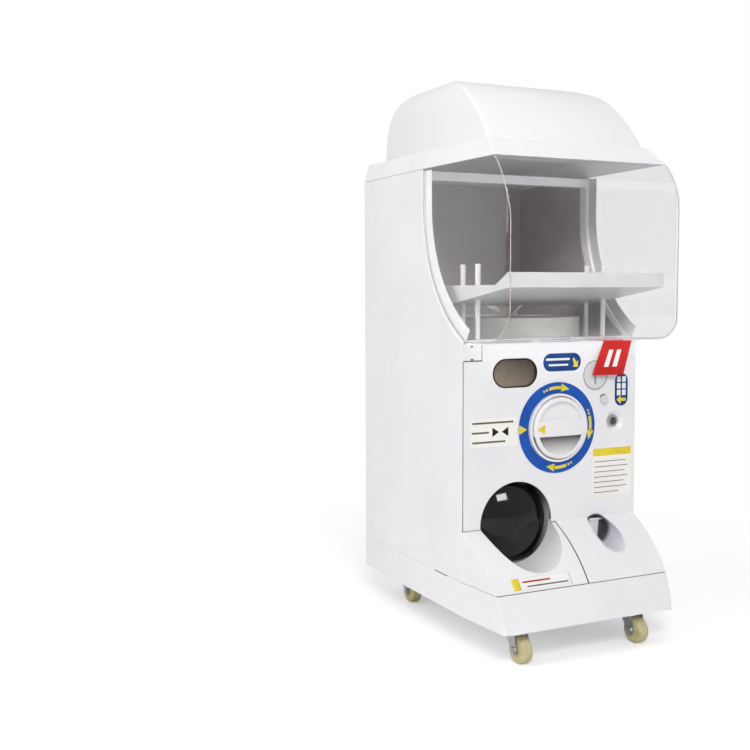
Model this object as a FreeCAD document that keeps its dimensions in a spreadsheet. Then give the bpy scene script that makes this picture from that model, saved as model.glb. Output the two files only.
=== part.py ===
"""Capsule toy vending machine: white moulded cabinet, clear window and hood, twist knob, casters.

Frame: X to the viewer's right, Y to the back, Z up, floor at zero, millimetres.
"""
import math
import os
import re

import FreeCAD
import Part
import Sketcher
from FreeCAD import Placement, Rotation, Vector

doc = FreeCAD.newDocument("CapsuleMachine")
sheet = doc.addObject("Spreadsheet::Sheet", "Sizes")

# Driving dimensions
SIZES = {
    # Cabinet envelope
    "half_width": 160, "rear_y": 225, "door_y": -117, "wall": 2.2, "rear_round": 8, "skirt_z": 54,
    "seam_z": 106, "sill_z": 461, "lid_z": 728, "top_z": 757, "seam_gap": 0.6, "play": 0.3,
    "run_fit": 0.06, "press_gap": 0.03,
    # Base tray and the slope that rises from it to the door
    "nose_half": 152.7, "nose_y": -226, "foot_y": -205, "crease_z": 182, "slope_radius": 214,
    "base_wall": 3, "base_floor": 4, "corner_round": 12, "slope_split_x": 8, "skin": 3,
    "swing_gap": 2.4, "notch_y": -74, "notch_length": 41, "notch_height": 1.5,
    # Window cover, its frame and the hopper behind it
    "frame_y": 6, "sweep_z": 669.5, "sweep_radius": 235, "cover_y": -229, "cover_wall": 3,
    "cover_half": 152, "brow_y": -192, "brow_z": 640, "brow_radius": 128, "chin_z": 512, "chin_y": -181,
    "chin_low": 465, "chin_radius": 48, "frame_width": 16, "frame_depth": 7, "liner_wall": 2,
    "liner_back_y": 205, "floor_z": 460, "floor_thick": 4, "cover_gap": 0.5,
    # Lid and hood
    "lid_front_top_y": -157, "lid_half_front": 140, "lid_half_rear": 152, "lid_wall": 3,
    "lid_barrel": 2, "lid_pin": 1, "lid_leaf": 1, "lid_hinge_x": 90, "lid_hinge_half": 15,
    "lid_leaf_low": 24, "lid_strap_high": 20, "hood_front_y": -152, "hood_rear_y": 184,
    "hood_half": 138, "hood_wall": 2, "hood_top_z": 873, "hood_shoulder_y": -62, "hood_shoulder_z": 846,
    "hood_crown_y": 70, "hood_rear_z": 800, "hood_shoulder_half": 132, "hood_shoulder_low": 836,
    "hood_top_half": 96, "hood_side_round": 46, "hood_rear_round": 88, "hood_brow_radius": 320,
    "hood_face_radius": 260, "hood_crown_radius": 1200, "hood_edge_drop": 4,
    # Display tray inside the window
    "tray_half": 138, "tray_front_y": -206, "tray_rear_y": -22, "tray_front_z": 544,
    "tray_front_rim": 566, "tray_rear_z": 516, "tray_rear_rim": 548, "tray_wall": 2.5, "post_radius": 4,
    "post_x": 116, "post_front_y": -88, "post_rear_y": -44, "post_top": 580, "post_collar": 3,
    "post_collar_high": 6, "tray_step": 34,
    # Door
    "door_left_x": -157, "door_thick": 7, "block_z": 436, "block_left_x": -125, "block_right_x": 134,
    "door_wrap": 30, "hinge_x": -143, "hinge_y": -113.5, "hinge_pin": 2.5, "hinge_reach": 12,
    "block_deep": 8, "ear_half": 7, "ear_high": 16, "lug_high": 12,
    # Knob, its ring and its drive
    "knob_x": 10, "knob_z": 329, "ring_width": 17.1, "ring_gap": 0.4, "ring_thick": 0.8,
    "bezel_wall": 3.8, "bezel_high": 6, "knob_gap": 1.7, "knob_radius": 47.5, "knob_back": 2,
    "knob_high": 10, "knob_rim": 6, "knob_crown": 1.2, "knob_edge": 3, "bar_half": 12, "grip_radius": 41,
    "grip_floor": 3, "shaft_radius": 7, "rod_radius": 5, "shaft_seat": 9, "bush_radius": 11,
    "bush_flange": 15, "bush_long": 25.9, "dog_y": -86, "dog_deep": 8, "dog_thick": 4, "dog_gap": 0.8,
    "wheel_y": 25, "gear_teeth": 16, "gear_cone": 22, "gear_face": 8, "gear_addendum": 1.5,
    "gear_dedendum": 2.3, "gear_fill": 0.42, "socket_radius": 9, "gear_hub": 6, "bracket_half": 24,
    "bracket_y": -33, "bracket_thick": 4, "bracket_drop": 18, "bracket_foot": 26, "boss_long": 14,
    # Dispensing wheel and capsule path
    "wheel_radius": 116, "wheel_low": 464, "wheel_high": 498, "pocket_radius": 36, "pocket_ring": 78,
    "pockets": 5, "drop_radius": 38, "outlet_x": -63, "outlet_z": 186, "outlet_radius": 64,
    "bowl_wall": 2.5, "scoop_radius": 57, "chute_half": 41, "chute_wall": 2.5, "mouth_y": -107,
    "mouth_half": 67, "mouth_rise": 8, "chute_floor_rear_z": 165, "chute_floor_flat": 45,
    "shutter_radius": 62, "shutter_dome": 15, "shutter_wall": 2, "shutter_pivot_y": -100,
    "shutter_pin": 2.5, "agitator_rod": 3, "agitator_reach": 36, "agitator_z": 540, "agitator_hub": 16,
    "agitator_hub_high": 14, "shaft_top": 10, "shutter_web": 26, "shutter_web_high": 9,
    # Coin side of the door
    "price_x": -67, "price_z": 416, "price_half": 17.5, "price_radius": 22, "lens_thick": 2,
    "coin_x": 80, "coin_z": 408, "coin_radius": 23, "coin_hub": 17, "slot_wide": 3.2, "slot_high": 29,
    "button_x": 97, "button_z": 369, "button_radius": 6.5, "button_proud": 5, "button_long": 13,
    "button_collar": 2, "lock_x": 120, "lock_z": 333, "lock_radius": 9.5, "lock_cone": 17,
    "lock_plug": 6.5, "lock_long": 24, "lock_sunk": 4, "lock_nut": 4, "key_wide": 1.6, "key_high": 8,
    "key_deep": 8, "cam_long": 30, "cam_half": 7, "cam_thick": 2.5, "cup_x": 84, "cup_radius": 22,
    "cup_z": 163, "cup_wall": 2, "cup_back_y": -107, "flap_top": 177, "flap_high": 30, "flap_half": 11,
    "flap_thick": 2, "flap_pin": 1.5, "flap_taper": 2.5, "tag_x": 123, "tag_half": 27, "tag_thick": 1.2,
    "tag_low": 408, "tag_curl": 6, "tag_twist": 7, "tag_lean": 26, "keeper_low": 325,
    "keeper_high": 341, "keeper_x": 141, "chute_left": 70, "chute_right": 87, "coin_gap": 5,
    "coin_lip": 2, "race_deep": 26, "race_low": 222, "keeper_front": 21, "keeper_back": 50,
    "keeper_thick": 2.5, "price_side": 5, "price_deep": 12, "price_wall": 2, "cash_wall": 2,
    "cash_top": 202, "cash_left": 18, "cash_right": 146, "cash_rear_y": 165,
    # Casters
    "caster_x": 105, "caster_front_y": -178, "caster_rear_y": 162, "plate_half": 22, "plate_thick": 2.5,
    "wheel_tyre": 20, "tyre_half": 9.5, "fork_offset": 17, "fork_gap": 0.8, "fork_wall": 2,
    "axle_radius": 3.2, "kingpin_radius": 5, "kingpin_long": 6, "fork_crown": 4, "fork_rear": 12,
    "fork_front": 15, "fork_foot": 7, "bolt_head": 2.3, "bolt_head_high": 3, "tread_round": 4.5,
    "tread_drop": 1.3,
}

for row, (alias, value) in enumerate(SIZES.items(), start=1):
    sheet.set(f"A{row}", alias.replace("_", " "))
    sheet.set(f"B{row}", str(value))
    sheet.setAlias(f"B{row}", alias)
doc.recompute()

WORD = re.compile(r"[a-z][a-z_]*")
PLANES = {"XY": "XY_Plane", "XZ": "XZ_Plane", "YZ": "YZ_Plane"}


def bound(text):
    """Expression text with every size name pointed at the sheet."""
    return WORD.sub(lambda m: "Sizes." + m.group() if m.group() in SIZES else m.group(), str(text))


def size(text):
    """Present number of an expression of size names."""
    return float(sheet.evalExpression(bound(text)))


def new_name(label):
    return label.title().replace("_", "")


def place(obj, x="0", y="0", z="0", rotation=None):
    """Set an object's position from expressions, after an optional fixed turn."""
    obj.Placement = Placement(Vector(size(x), size(y), size(z)), rotation or Rotation())
    for axis, text in zip("xyz", (x, y, z)):
        obj.setExpression(f"Placement.Base.{axis}", bound(text))
    return obj


def add_sketch(body, plane, offset):
    """Empty sketch on one of the body's origin planes, moved along the plane's normal."""
    sketch = body.newObject("Sketcher::SketchObject", body.Name + "Sketch")
    support = [f for f in body.Origin.OriginFeatures if f.Role == PLANES[plane]][0]
    sketch.AttachmentSupport = [(support, "")]
    sketch.MapMode = "FlatFace"
    sketch.setExpression("AttachmentOffset.Base.z", bound(offset))
    return sketch


def bind(sketch, constraint, text):
    index = sketch.addConstraint(constraint)
    sketch.setExpression(f"Constraints[{index}]", bound(text))


def add_outline(sketch, corners):
    """Closed outline. A corner is (u, v), or (u, v, radius) for an arc that ends there.

    A positive radius bends to the left on the way to the corner, a negative one to the right.
    A corner that falls on the one before it is drawn once.
    """
    points = [Vector(size(c[0]), size(c[1]), 0) for c in corners]
    doubled = [i for i, p in enumerate(points) if p.isEqual(points[i - 1], 1e-6)]
    corners = [c for i, c in enumerate(corners) if i not in doubled]
    points = [p for i, p in enumerate(points) if i not in doubled]
    ends = []
    for i, corner in enumerate(corners):
        start, end = points[i - 1], points[i]
        if len(corner) == 2:
            geo = sketch.addGeometry(Part.LineSegment(start, end))
            ends.append((geo, 1, 2))
            continue
        radius = size(corner[2])
        chord = end - start
        side = Vector(-chord.y, chord.x, 0).normalize() * math.copysign(1, radius)
        centre = (start + end) * 0.5 + side * math.sqrt(radius ** 2 - chord.Length ** 2 / 4)
        first, last = (start, end) if radius > 0 else (end, start)
        a = math.atan2(first.y - centre.y, first.x - centre.x)
        b = math.atan2(last.y - centre.y, last.x - centre.x)
        circle = Part.Circle(centre, Vector(0, 0, 1), abs(radius))
        geo = sketch.addGeometry(Part.ArcOfCircle(circle, a, b if b > a else b + 2 * math.pi))
        ends.append((geo, 1, 2) if radius > 0 else (geo, 2, 1))
        bind(sketch, Sketcher.Constraint("Radius", geo, abs(radius)), f"abs({corner[2]})")
    for i, (geo, _, last) in enumerate(ends):
        follower, first, _ = ends[(i + 1) % len(ends)]
        sketch.addConstraint(Sketcher.Constraint("Coincident", geo, last, follower, first))
        point = points[i]
        bind(sketch, Sketcher.Constraint("DistanceX", -1, 1, geo, last, point.x), corners[i][0])
        bind(sketch, Sketcher.Constraint("DistanceY", -1, 1, geo, last, point.y), corners[i][1])


def add_circle(sketch, u, v, radius):
    geo = sketch.addGeometry(Part.Circle(Vector(size(u), size(v), 0), Vector(0, 0, 1), size(radius)))
    bind(sketch, Sketcher.Constraint("Radius", geo, size(radius)), radius)
    bind(sketch, Sketcher.Constraint("DistanceX", -1, 1, geo, 3, size(u)), u)
    bind(sketch, Sketcher.Constraint("DistanceY", -1, 1, geo, 3, size(v)), v)


def prism(label, plane, outlines, start, end):
    """Pad of outlines (corner lists or circles) from start to end along the plane's own axis."""
    body = doc.addObject("PartDesign::Body", new_name(label))
    body.Label = label
    flip = plane == "XZ"
    sketch = add_sketch(body, plane, f"-({start})" if flip else start)
    for outline in outlines:
        if isinstance(outline, tuple):
            add_circle(sketch, *outline)
        else:
            add_outline(sketch, outline)
    pad = body.newObject("PartDesign::Pad", body.Name + "Pad")
    pad.Profile = sketch
    pad.Reversed = flip
    pad.setExpression("Length", bound(f"({end}) - ({start})"))
    body.Tip = pad
    doc.recompute()
    return body


def turned(label, corners, plane="XZ", axis="V_Axis"):
    """Solid of revolution about a sketch axis; the sketch lies on the named origin plane."""
    body = doc.addObject("PartDesign::Body", new_name(label))
    body.Label = label
    sketch = add_sketch(body, plane, "0")
    add_outline(sketch, corners)
    turn = body.newObject("PartDesign::Revolution", body.Name + "Turn")
    turn.Profile = sketch
    turn.ReferenceAxis = (sketch, [axis])
    turn.Angle = 360
    body.Tip = turn
    doc.recompute()
    return body


def lofted(label, low, high, low_z, high_z):
    """Ruled loft between two plan outlines at two heights."""
    body = doc.addObject("PartDesign::Body", new_name(label))
    body.Label = label
    first = add_sketch(body, "XY", low_z)
    add_outline(first, low)
    second = add_sketch(body, "XY", high_z)
    add_outline(second, high)
    loft = body.newObject("PartDesign::AdditiveLoft", body.Name + "Loft")
    loft.Profile = first
    loft.Sections = [second]
    loft.Ruled = True
    body.Tip = loft
    doc.recompute()
    return body


def rounded(body, radius, chosen):
    """Fillet the edges of a body's tip that the chosen test picks."""
    tip = body.Tip
    names = [f"Edge{i}" for i, edge in enumerate(tip.Shape.Edges, start=1) if chosen(edge)]
    fillet = body.newObject("PartDesign::Fillet", body.Name + "Fillet")
    fillet.Base = (tip, names)
    fillet.setExpression("Radius", bound(radius))
    body.Tip = fillet
    doc.recompute()
    return body


def cylinder(label, radius, start, end, axis, a, b):
    """Round bar along an axis from start to end; a and b are its other two coordinates in order."""
    obj = doc.addObject("Part::Cylinder", new_name(label))
    obj.Label = label
    obj.setExpression("Radius", bound(radius))
    obj.setExpression("Height", bound(f"({end}) - ({start})"))
    turn = {"X": Rotation(Vector(0, 1, 0), 90), "Y": Rotation(Vector(1, 0, 0), -90), "Z": Rotation()}[axis]
    spot = {"X": (start, a, b), "Y": (a, start, b), "Z": (a, b, start)}[axis]
    return place(obj, *spot, rotation=turn)


def box(label, x, y, z):
    """Block between pairs of coordinates."""
    obj = doc.addObject("Part::Box", new_name(label))
    obj.Label = label
    for name, pair in zip(("Length", "Width", "Height"), (x, y, z)):
        obj.setExpression(name, bound(f"({pair[1]}) - ({pair[0]})"))
    return place(obj, x[0], y[0], z[0])


def join(label, parts):
    obj = doc.addObject("Part::MultiFuse", new_name(label))
    obj.Label = label
    obj.Shapes = parts
    obj.Refine = True
    doc.recompute()
    return obj


def cut(label, base, tools):
    """Base less every tool."""
    tool = tools[0] if len(tools) == 1 else join(label + "_tool", tools)
    obj = doc.addObject("Part::Cut", new_name(label))
    obj.Label = label
    obj.Base = base
    obj.Tool = tool
    obj.Refine = True
    doc.recompute()
    return obj


def overlap(label, parts):
    obj = doc.addObject("Part::MultiCommon", new_name(label))
    obj.Label = label
    obj.Shapes = parts
    obj.Refine = True
    doc.recompute()
    return obj


def group(label, parts):
    """Several like solids under one name."""
    obj = doc.addObject("Part::Compound", new_name(label))
    obj.Label = label
    obj.Links = parts
    doc.recompute()
    return obj


def stadium(x, low, high, radius, grow="0"):
    """Upright slot outline with half-round ends; its end centres are at low and high."""
    r = f"{radius} + {grow}"
    return [(f"{x} + {r}", low), (f"{x} + {r}", high), (x, f"{high} + {r}", r), (f"{x} - ({r})", high, r),
            (f"{x} - ({r})", low), (x, f"{low} - ({r})", r), (f"{x} + {r}", low, r)]


def lying(z, left, right, radius, grow="0"):
    """Level slot outline with half-round ends; its end centres are at left and right."""
    r = f"{radius} + {grow}"
    return [(left, f"{z} - ({r})"), (right, f"{z} - ({r})"), (f"{right} + {r}", z, r),
            (right, f"{z} + {r}", r),
            (left, f"{z} + {r}"), (f"{left} - ({r})", z, r), (left, f"{z} - ({r})", r)]


finished = []


def keep(obj):
    finished.append(obj)
    return obj


# Cabinet shell: two side walls and a back, swept away in front for the window
def window_sweep(inset, low_z):
    """Window edge seen from the side, from the lid down to the door, moved back by inset."""
    return [(f"frame_y + {inset}", "lid_z"), (f"frame_y + {inset}", "sweep_z"),
            (f"door_y + {inset}", low_z, "-(sweep_radius)")]


def rear_corners(half, back, turn):
    """Rounded rear edge of a plan, from its right side to its left."""
    return [(half, f"{back} - ({turn})"), (f"{half} - ({turn})", back, turn), (f"-({half}) + {turn}", back),
            (f"-({half})", f"{back} - ({turn})", turn)]


def plan_outline(inset, front_half, front_y, start_y):
    """Plan of the machine: straight sides, tapering forward of start_y to a rounded nose."""
    half = f"half_width - {inset}"
    nose = f"{front_half} - {inset}"
    tip = f"{front_y} + {inset}"
    bend = "corner_round * 1.02"
    return rear_corners(half, f"rear_y - {inset}", f"rear_round - {inset}") + [
        (f"-({half})", start_y), (f"-({nose})", f"{tip} + corner_round"),
        (f"-({nose}) + corner_round", tip, bend), (f"{nose} - corner_round", tip),
        (nose, f"{tip} + corner_round", bend), (half, start_y)]


def make_cabinet():
    side = [("rear_y", "seam_z"), ("rear_y", "lid_z")] + window_sweep("0",
                                                                      "sill_z + 2") + [("door_y", "seam_z")]
    outer = prism("cabinet_outer", "YZ", [side], "-half_width", "half_width")
    rear = size("rear_y - wall")
    rounded(outer, "rear_round",
            lambda e: abs(e.tangentAt(e.FirstParameter).z) > 0.99 and e.CenterOfMass.y > rear)
    half = "half_width - wall"
    room = [(f"-({half})", "nose_y"), (half, "nose_y")] + rear_corners(half, "rear_y - wall",
                                                                       "rear_round - wall")
    inner = prism("cabinet_inner", "XY", [room], "seam_z - 1", "lid_z + 1")
    door_return = box("door_return", ("0", "half_width + 1"), ("nose_y", "door_y + door_wrap + seam_gap"),
                      ("seam_z - 1", "block_z + seam_gap"))
    return keep(cut("cabinet_shell", outer, [inner, door_return]))


def make_base():
    side = [("rear_y", "skirt_z"), ("rear_y", "seam_z"), ("foot_y", "seam_z"), ("nose_y", "skirt_z")]
    block = prism("base_block", "YZ", [side], "-half_width", "half_width")
    plan = prism("base_plan", "XY", [plan_outline("0", "nose_half", "nose_y", "door_y")], "skirt_z - 1",
                 "seam_z + 1")
    shape = overlap("base_shape", [block, plan])
    hollow_side = [("rear_y - base_wall", "skirt_z + base_floor"), ("rear_y - base_wall", "seam_z + 1"),
                   ("foot_y + base_wall", "seam_z + 1"), ("nose_y + base_wall + 2", "skirt_z + base_floor")]
    hollow = prism("base_hollow", "YZ", [hollow_side], "-half_width", "half_width")
    hollow_plan = prism("base_hollow_plan", "XY", [plan_outline("base_wall", "nose_half", "nose_y",
                                                                "door_y")], "skirt_z", "seam_z + 2")
    inside = overlap("base_inside", [hollow, hollow_plan])
    notches = box("base_notches", ("-half_width - 1", "half_width + 1"),
                  ("notch_y", "notch_y + notch_length"),
                  ("seam_z - notch_height", "seam_z + 1"))
    return keep(cut("base_tray", shape, [inside, notches]))


def slope_side(inset, back_y, low_z):
    """Side outline of the slope under the door, shrunk by inset."""
    return [(back_y, low_z), (back_y, f"crease_z - {inset}"), ("door_y", f"crease_z - {inset}"),
            (f"foot_y + {inset}", "seam_z + seam_gap", f"slope_radius - {inset}"),
            (f"foot_y + {inset}", low_z)]


def slope_block(label, inset, left, right, back_y, low_z):
    """Solid under the slope between two x values, trimmed by the tapered plan."""
    block = prism(label + "_block", "YZ", [slope_side(inset, back_y, low_z)], left, right)
    plan = prism(label + "_plan", "XY", [plan_outline(inset, "nose_half", "nose_y", "door_y")], "skirt_z",
                 "crease_z + 5")
    return overlap(label + "_slope", [block, plan])


def scoop_room(label, grow):
    """Room of the scoop: a round trough that narrows a little from the door's hole to the front."""
    cone = doc.addObject("Part::Cone", new_name(label))
    cone.Label = label
    cone.setExpression("Radius1", bound(f"outlet_radius + {grow}"))
    cone.setExpression("Radius2", bound(f"scoop_radius + {grow}"))
    cone.setExpression("Height", bound("door_y - nose_y"))
    return place(cone, "outlet_x", "door_y", "outlet_z", Rotation(Vector(1, 0, 0), 90))


def make_outlet_tray():
    low = "seam_z + seam_gap"
    right = "slope_split_x - swing_gap / 2"
    outer = slope_block("tray_outer", "0", "-half_width", right, "door_y", low)
    inner = slope_block("tray_inner", "skin", "-half_width", "slope_split_x + 5", "door_y + 5", "seam_z")
    shell = cut("tray_shell", outer, [inner])
    bowl_part = overlap("bowl_part", [scoop_room("bowl_outer", "bowl_wall"), outer])
    skin = join("tray_skin", [shell, bowl_part])
    lug = box("tray_lug", ("hinge_x - ear_half", "hinge_x + ear_half"),
              ("door_y - skin", "door_y + door_thick"),
              ("crease_z - lug_high", "crease_z"))
    sleeve = cylinder("bowl_sleeve", "outlet_radius + bowl_wall", "door_y - skin", "mouth_y - seam_gap",
                      "Y",
                      "outlet_x", "outlet_z")
    under = box("bowl_under", ("-half_width", right), ("nose_y", "mouth_y"), ("seam_z", "crease_z"))
    neck = overlap("bowl_neck", [sleeve, under])
    scoop = scoop_room("bowl_inner", "0")
    way = cylinder("bowl_way", "outlet_radius", "door_y", "mouth_y", "Y", "outlet_x", "outlet_z")
    bore = cylinder("tray_lug_bore", "hinge_pin + press_gap", "crease_z - lug_high + 2", "crease_z + 1",
                    "Z",
                    "hinge_x", "hinge_y")
    return keep(cut("outlet_tray", join("tray_whole", [skin, lug, neck]), [scoop, way, bore]))


# Window: white frame strip and a clear cover with a D profile
def make_window_frame():
    half = "half_width - wall"
    band = ([("frame_y + frame_width", "lid_z - 2")] + [("frame_y", "lid_z - 2"), ("frame_y", "sweep_z"),
            ("door_y", "sill_z + 2", "-(sweep_radius)")]
            + [("door_y + frame_width", "sill_z + 2"),
               ("frame_y + frame_width", "sweep_z", "sweep_radius")])
    strip_left = prism("frame_left", "YZ", [band], f"-({half})", f"-({half}) + frame_depth")
    strip_right = prism("frame_right", "YZ", [band], f"{half} - frame_depth", half)
    sill = box("frame_sill", (f"-({half})", half),
               ("door_y + door_thick + 1.5", "door_y + frame_width + 6"),
               ("floor_z", "sill_z + 6"))
    head = box("frame_head", (f"-({half})", half), ("frame_y", "frame_y + frame_width"),
               ("lid_z - 16", "lid_z - 2"))
    return keep(join("window_frame", [strip_left, strip_right, sill, head]))


def cover_side(inset, past):
    """Side outline of the window cover, shrunk by inset; past opens its back and top."""
    top = "lid_z - cover_gap"
    return [(f"frame_y - cover_gap + {past}", f"{top} + {past}"), (f"brow_y + {inset}", f"{top} + {past}"),
            (f"brow_y + {inset}", top), (f"cover_y + {inset}", "brow_z", f"brow_radius - {inset}"),
            (f"cover_y + {inset}", "chin_z"),
            ("chin_y", f"chin_low + {inset}", f"chin_radius - {inset}"),
            (f"door_y - cover_gap + {past}", f"sill_z + 2 + {inset}"),
            (f"frame_y - cover_gap + {past}", "sweep_z", "sweep_radius")]


def make_window_cover():
    outer_side = prism("cover_side", "YZ", [cover_side("0", "0")], "-half_width", "half_width")
    outer_plan = prism("cover_plan", "XY", [plan_outline("0", "cover_half", "cover_y", "frame_y")],
                       "sill_z", "lid_z")
    outer = overlap("cover_outer", [outer_side, outer_plan])
    inner_side = prism("cover_inside", "YZ", [cover_side("cover_wall", "20")], "-half_width", "half_width")
    inner_plan = prism("cover_inside_plan", "XY", [plan_outline("cover_wall", "cover_half", "cover_y",
                                                                "frame_y")], "sill_z", "lid_z + 30")
    inner = overlap("cover_inner", [inner_side, inner_plan])
    return keep(cut("window_cover", outer, [inner]))


# Hopper: dark liner, floor, display tray on posts
def make_hopper():
    half = "half_width - wall - frame_depth"
    side = ([("liner_back_y", "floor_z"), ("liner_back_y", "lid_z - 2")]
            + [("frame_y + frame_width", "lid_z - 2"), ("frame_y + frame_width", "sweep_z"),
               ("door_y + frame_width + 8", "sill_z + 10", "-(sweep_radius)")]
            + [("door_y + frame_width + 8", "floor_z")])
    outer = prism("liner_outer", "YZ", [side], f"-({half})", half)
    inner = box("liner_inner", (f"-({half}) + liner_wall", f"{half} - liner_wall"),
                ("nose_y", "liner_back_y - liner_wall"), ("floor_z - 1", "lid_z"))
    keep(cut("hopper_liner", outer, [inner]))
    inside = "half_width - wall"
    plate = box("floor_plate", (f"-({inside})", inside),
                ("door_y + door_thick + 1.5", "rear_y - rear_round"),
                ("floor_z - floor_thick", "floor_z"))
    drop = cylinder("floor_drop", "drop_radius", "floor_z - 20", "floor_z + 20", "Z", "outlet_x", drop_y())
    bore = cylinder("floor_bore", "bush_radius + press_gap", "floor_z - 20", "floor_z + 20", "Z", "knob_x",
                    "wheel_y")
    keep(cut("hopper_floor", plate, [drop, bore]))


def drop_y():
    """Depth at which the pocket circle passes over the outlet."""
    return "wheel_y - sqrt(pocket_ring ^ 2 - (outlet_x - knob_x) ^ 2)"


def tray_outline(inset, lift):
    return [("tray_front_y + " + inset, f"tray_front_z + {lift}"),
            ("tray_front_y + " + inset, f"tray_front_rim + {inset} * 4"),
            ("tray_front_y + tray_step", f"tray_rear_rim + {inset} * 4"),
            ("tray_rear_y - " + inset, f"tray_rear_rim + {inset} * 4"),
            ("tray_rear_y - " + inset, f"tray_rear_z + {lift}")]


def make_display_tray():
    outer = prism("tray_body", "YZ", [tray_outline("0", "0")], "-tray_half", "tray_half")
    inner = prism("tray_room", "YZ", [tray_outline("tray_wall", "tray_wall")], "-tray_half + tray_wall",
                  "tray_half - tray_wall")
    holes, posts = [], []
    for i, x in enumerate(("-post_x", "post_x")):
        for j, y in enumerate(("post_front_y", "post_rear_y")):
            holes.append(cylinder(f"post_hole_{i}{j}", "post_radius + play", "floor_z", "post_top", "Z", x,
                                  y))
            post = cylinder(f"post_rod_{i}{j}", "post_radius", "floor_z", "post_top", "Z", x, y)
            collar = cylinder(f"post_collar_{i}{j}", "post_radius + post_collar", "floor_z",
                              "floor_z + post_collar_high", "Z", x, y)
            posts.append(join(f"post_{i}{j}", [post, collar]))
    keep(cut("display_tray", outer, [inner] + holes))
    return keep(group("tray_posts", posts))


# Lid and hood
def lid_plan(inset, top):
    """Plan of the lid at its lower edge, or at its top where it has drawn in."""
    rear_half = "lid_half_rear" if top else "half_width"
    front_half = "lid_half_front" if top else "cover_half"
    front_y = "lid_front_top_y" if top else "brow_y"
    half, front = f"{rear_half} - {inset}", f"{front_half} - {inset}"
    return rear_corners(half, f"rear_y - {inset}", f"rear_round - {inset}") + [
        (f"-({half})", "frame_y"), (f"-({front})", f"{front_y} + {inset}"), (front, f"{front_y} + {inset}"),
        (half, "frame_y")]


def make_lid():
    outer = lofted("lid_outer", lid_plan("0", False), lid_plan("0", True), "lid_z + play", "top_z")
    inner = lofted("lid_inner", lid_plan("lid_wall", False), lid_plan("lid_wall", True), "lid_z",
                   "top_z - lid_wall")
    return keep(cut("lid", outer, [inner]))


def hood_solid(label, inset, low_z):
    """Dome of the hood shrunk by inset: a side outline crossed with a front outline."""
    top = f"hood_top_z - {inset}"
    front = f"hood_front_y + {inset}"
    rear = f"hood_rear_y - {inset}"
    side = [(rear, low_z), (rear, "hood_rear_z"), ("hood_rear_y - hood_rear_round", top,
                                                   f"hood_rear_round - {inset}"),
            ("hood_crown_y", top), (f"hood_shoulder_y + {inset}", f"hood_shoulder_z - {inset}",
                                    "hood_brow_radius"),
            (front, "top_z", "hood_face_radius"), (front, low_z)]
    half = f"hood_half - {inset}"
    shoulder = f"hood_shoulder_half - {inset}"
    edge = f"hood_top_z - hood_edge_drop - {inset}"
    face = [(half, low_z), (half, "top_z"), (shoulder, "hood_shoulder_low"),
            ("hood_top_half", edge, f"hood_side_round - {inset}"),
            ("-hood_top_half", edge, "hood_crown_radius"),
            (f"-({shoulder})", "hood_shoulder_low", f"hood_side_round - {inset}"), (f"-({half})", "top_z"),
            (f"-({half})", low_z)]
    return overlap(label, [prism(label + "_side", "YZ", [side], "-half_width", "half_width"),
                           prism(label + "_face", "XZ", [face], "nose_y", "rear_y")])


def make_hood():
    outer = hood_solid("hood_outer", "0", "top_z")
    inner = hood_solid("hood_inner", "hood_wall", "top_z - 1")
    return keep(cut("hood", outer, [inner]))


def make_lid_hinges():
    """Two butt hinges on the back edge: fixed leaf, lid strap and pin."""
    leaves, straps, pins = [], [], []
    axis_y, axis_z = "rear_y + lid_barrel", "lid_z"
    leaf_y = ("rear_y", "rear_y + lid_leaf")
    for i, x in enumerate(("-lid_hinge_x", "lid_hinge_x")):
        left, right = (f"{x} - lid_hinge_half", x), (f"{x} + play", f"{x} + lid_hinge_half")
        for kind, span, heights, found in (("leaf", left, ("lid_z - lid_leaf_low", "lid_z"), leaves),
                                           ("strap", right, ("lid_z", "lid_z + lid_strap_high"), straps)):
            barrel = cylinder(f"{kind}_barrel_{i}", "lid_barrel", *span, "X", axis_y, axis_z)
            plate = box(f"{kind}_plate_{i}", span, leaf_y, heights)
            bore = cylinder(f"{kind}_bore_{i}", "lid_pin", *span, "X", axis_y, axis_z)
            found.append(cut(f"{kind}_{i}", join(f"{kind}_raw_{i}", [barrel, plate]), [bore]))
        pins.append(cylinder(f"pin_{i}", "lid_pin - run_fit", left[0], right[1], "X", axis_y, axis_z))
    keep(group("lid_hinge_leaves", leaves))
    keep(group("lid_hinge_straps", straps))
    keep(group("lid_hinge_pins", pins))


# Door: one moulding with the right half of the slope, hinged on the viewer's left
def door_face(inset):
    """Front outline of the upper door, stepped round the two corner blocks."""
    low, top = f"crease_z + seam_gap + {inset}", f"sill_z - 0.5 - {inset}"
    step = f"block_z - seam_gap - {inset}"
    left, right = f"door_left_x + {inset}", f"half_width - {inset}"
    return [(left, low), (right, low), (right, step), (f"block_right_x - {inset}", step),
            (f"block_right_x - {inset}", top), (f"block_left_x + {inset}", top),
            (f"block_left_x + {inset}", step),
            (left, step)]


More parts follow.
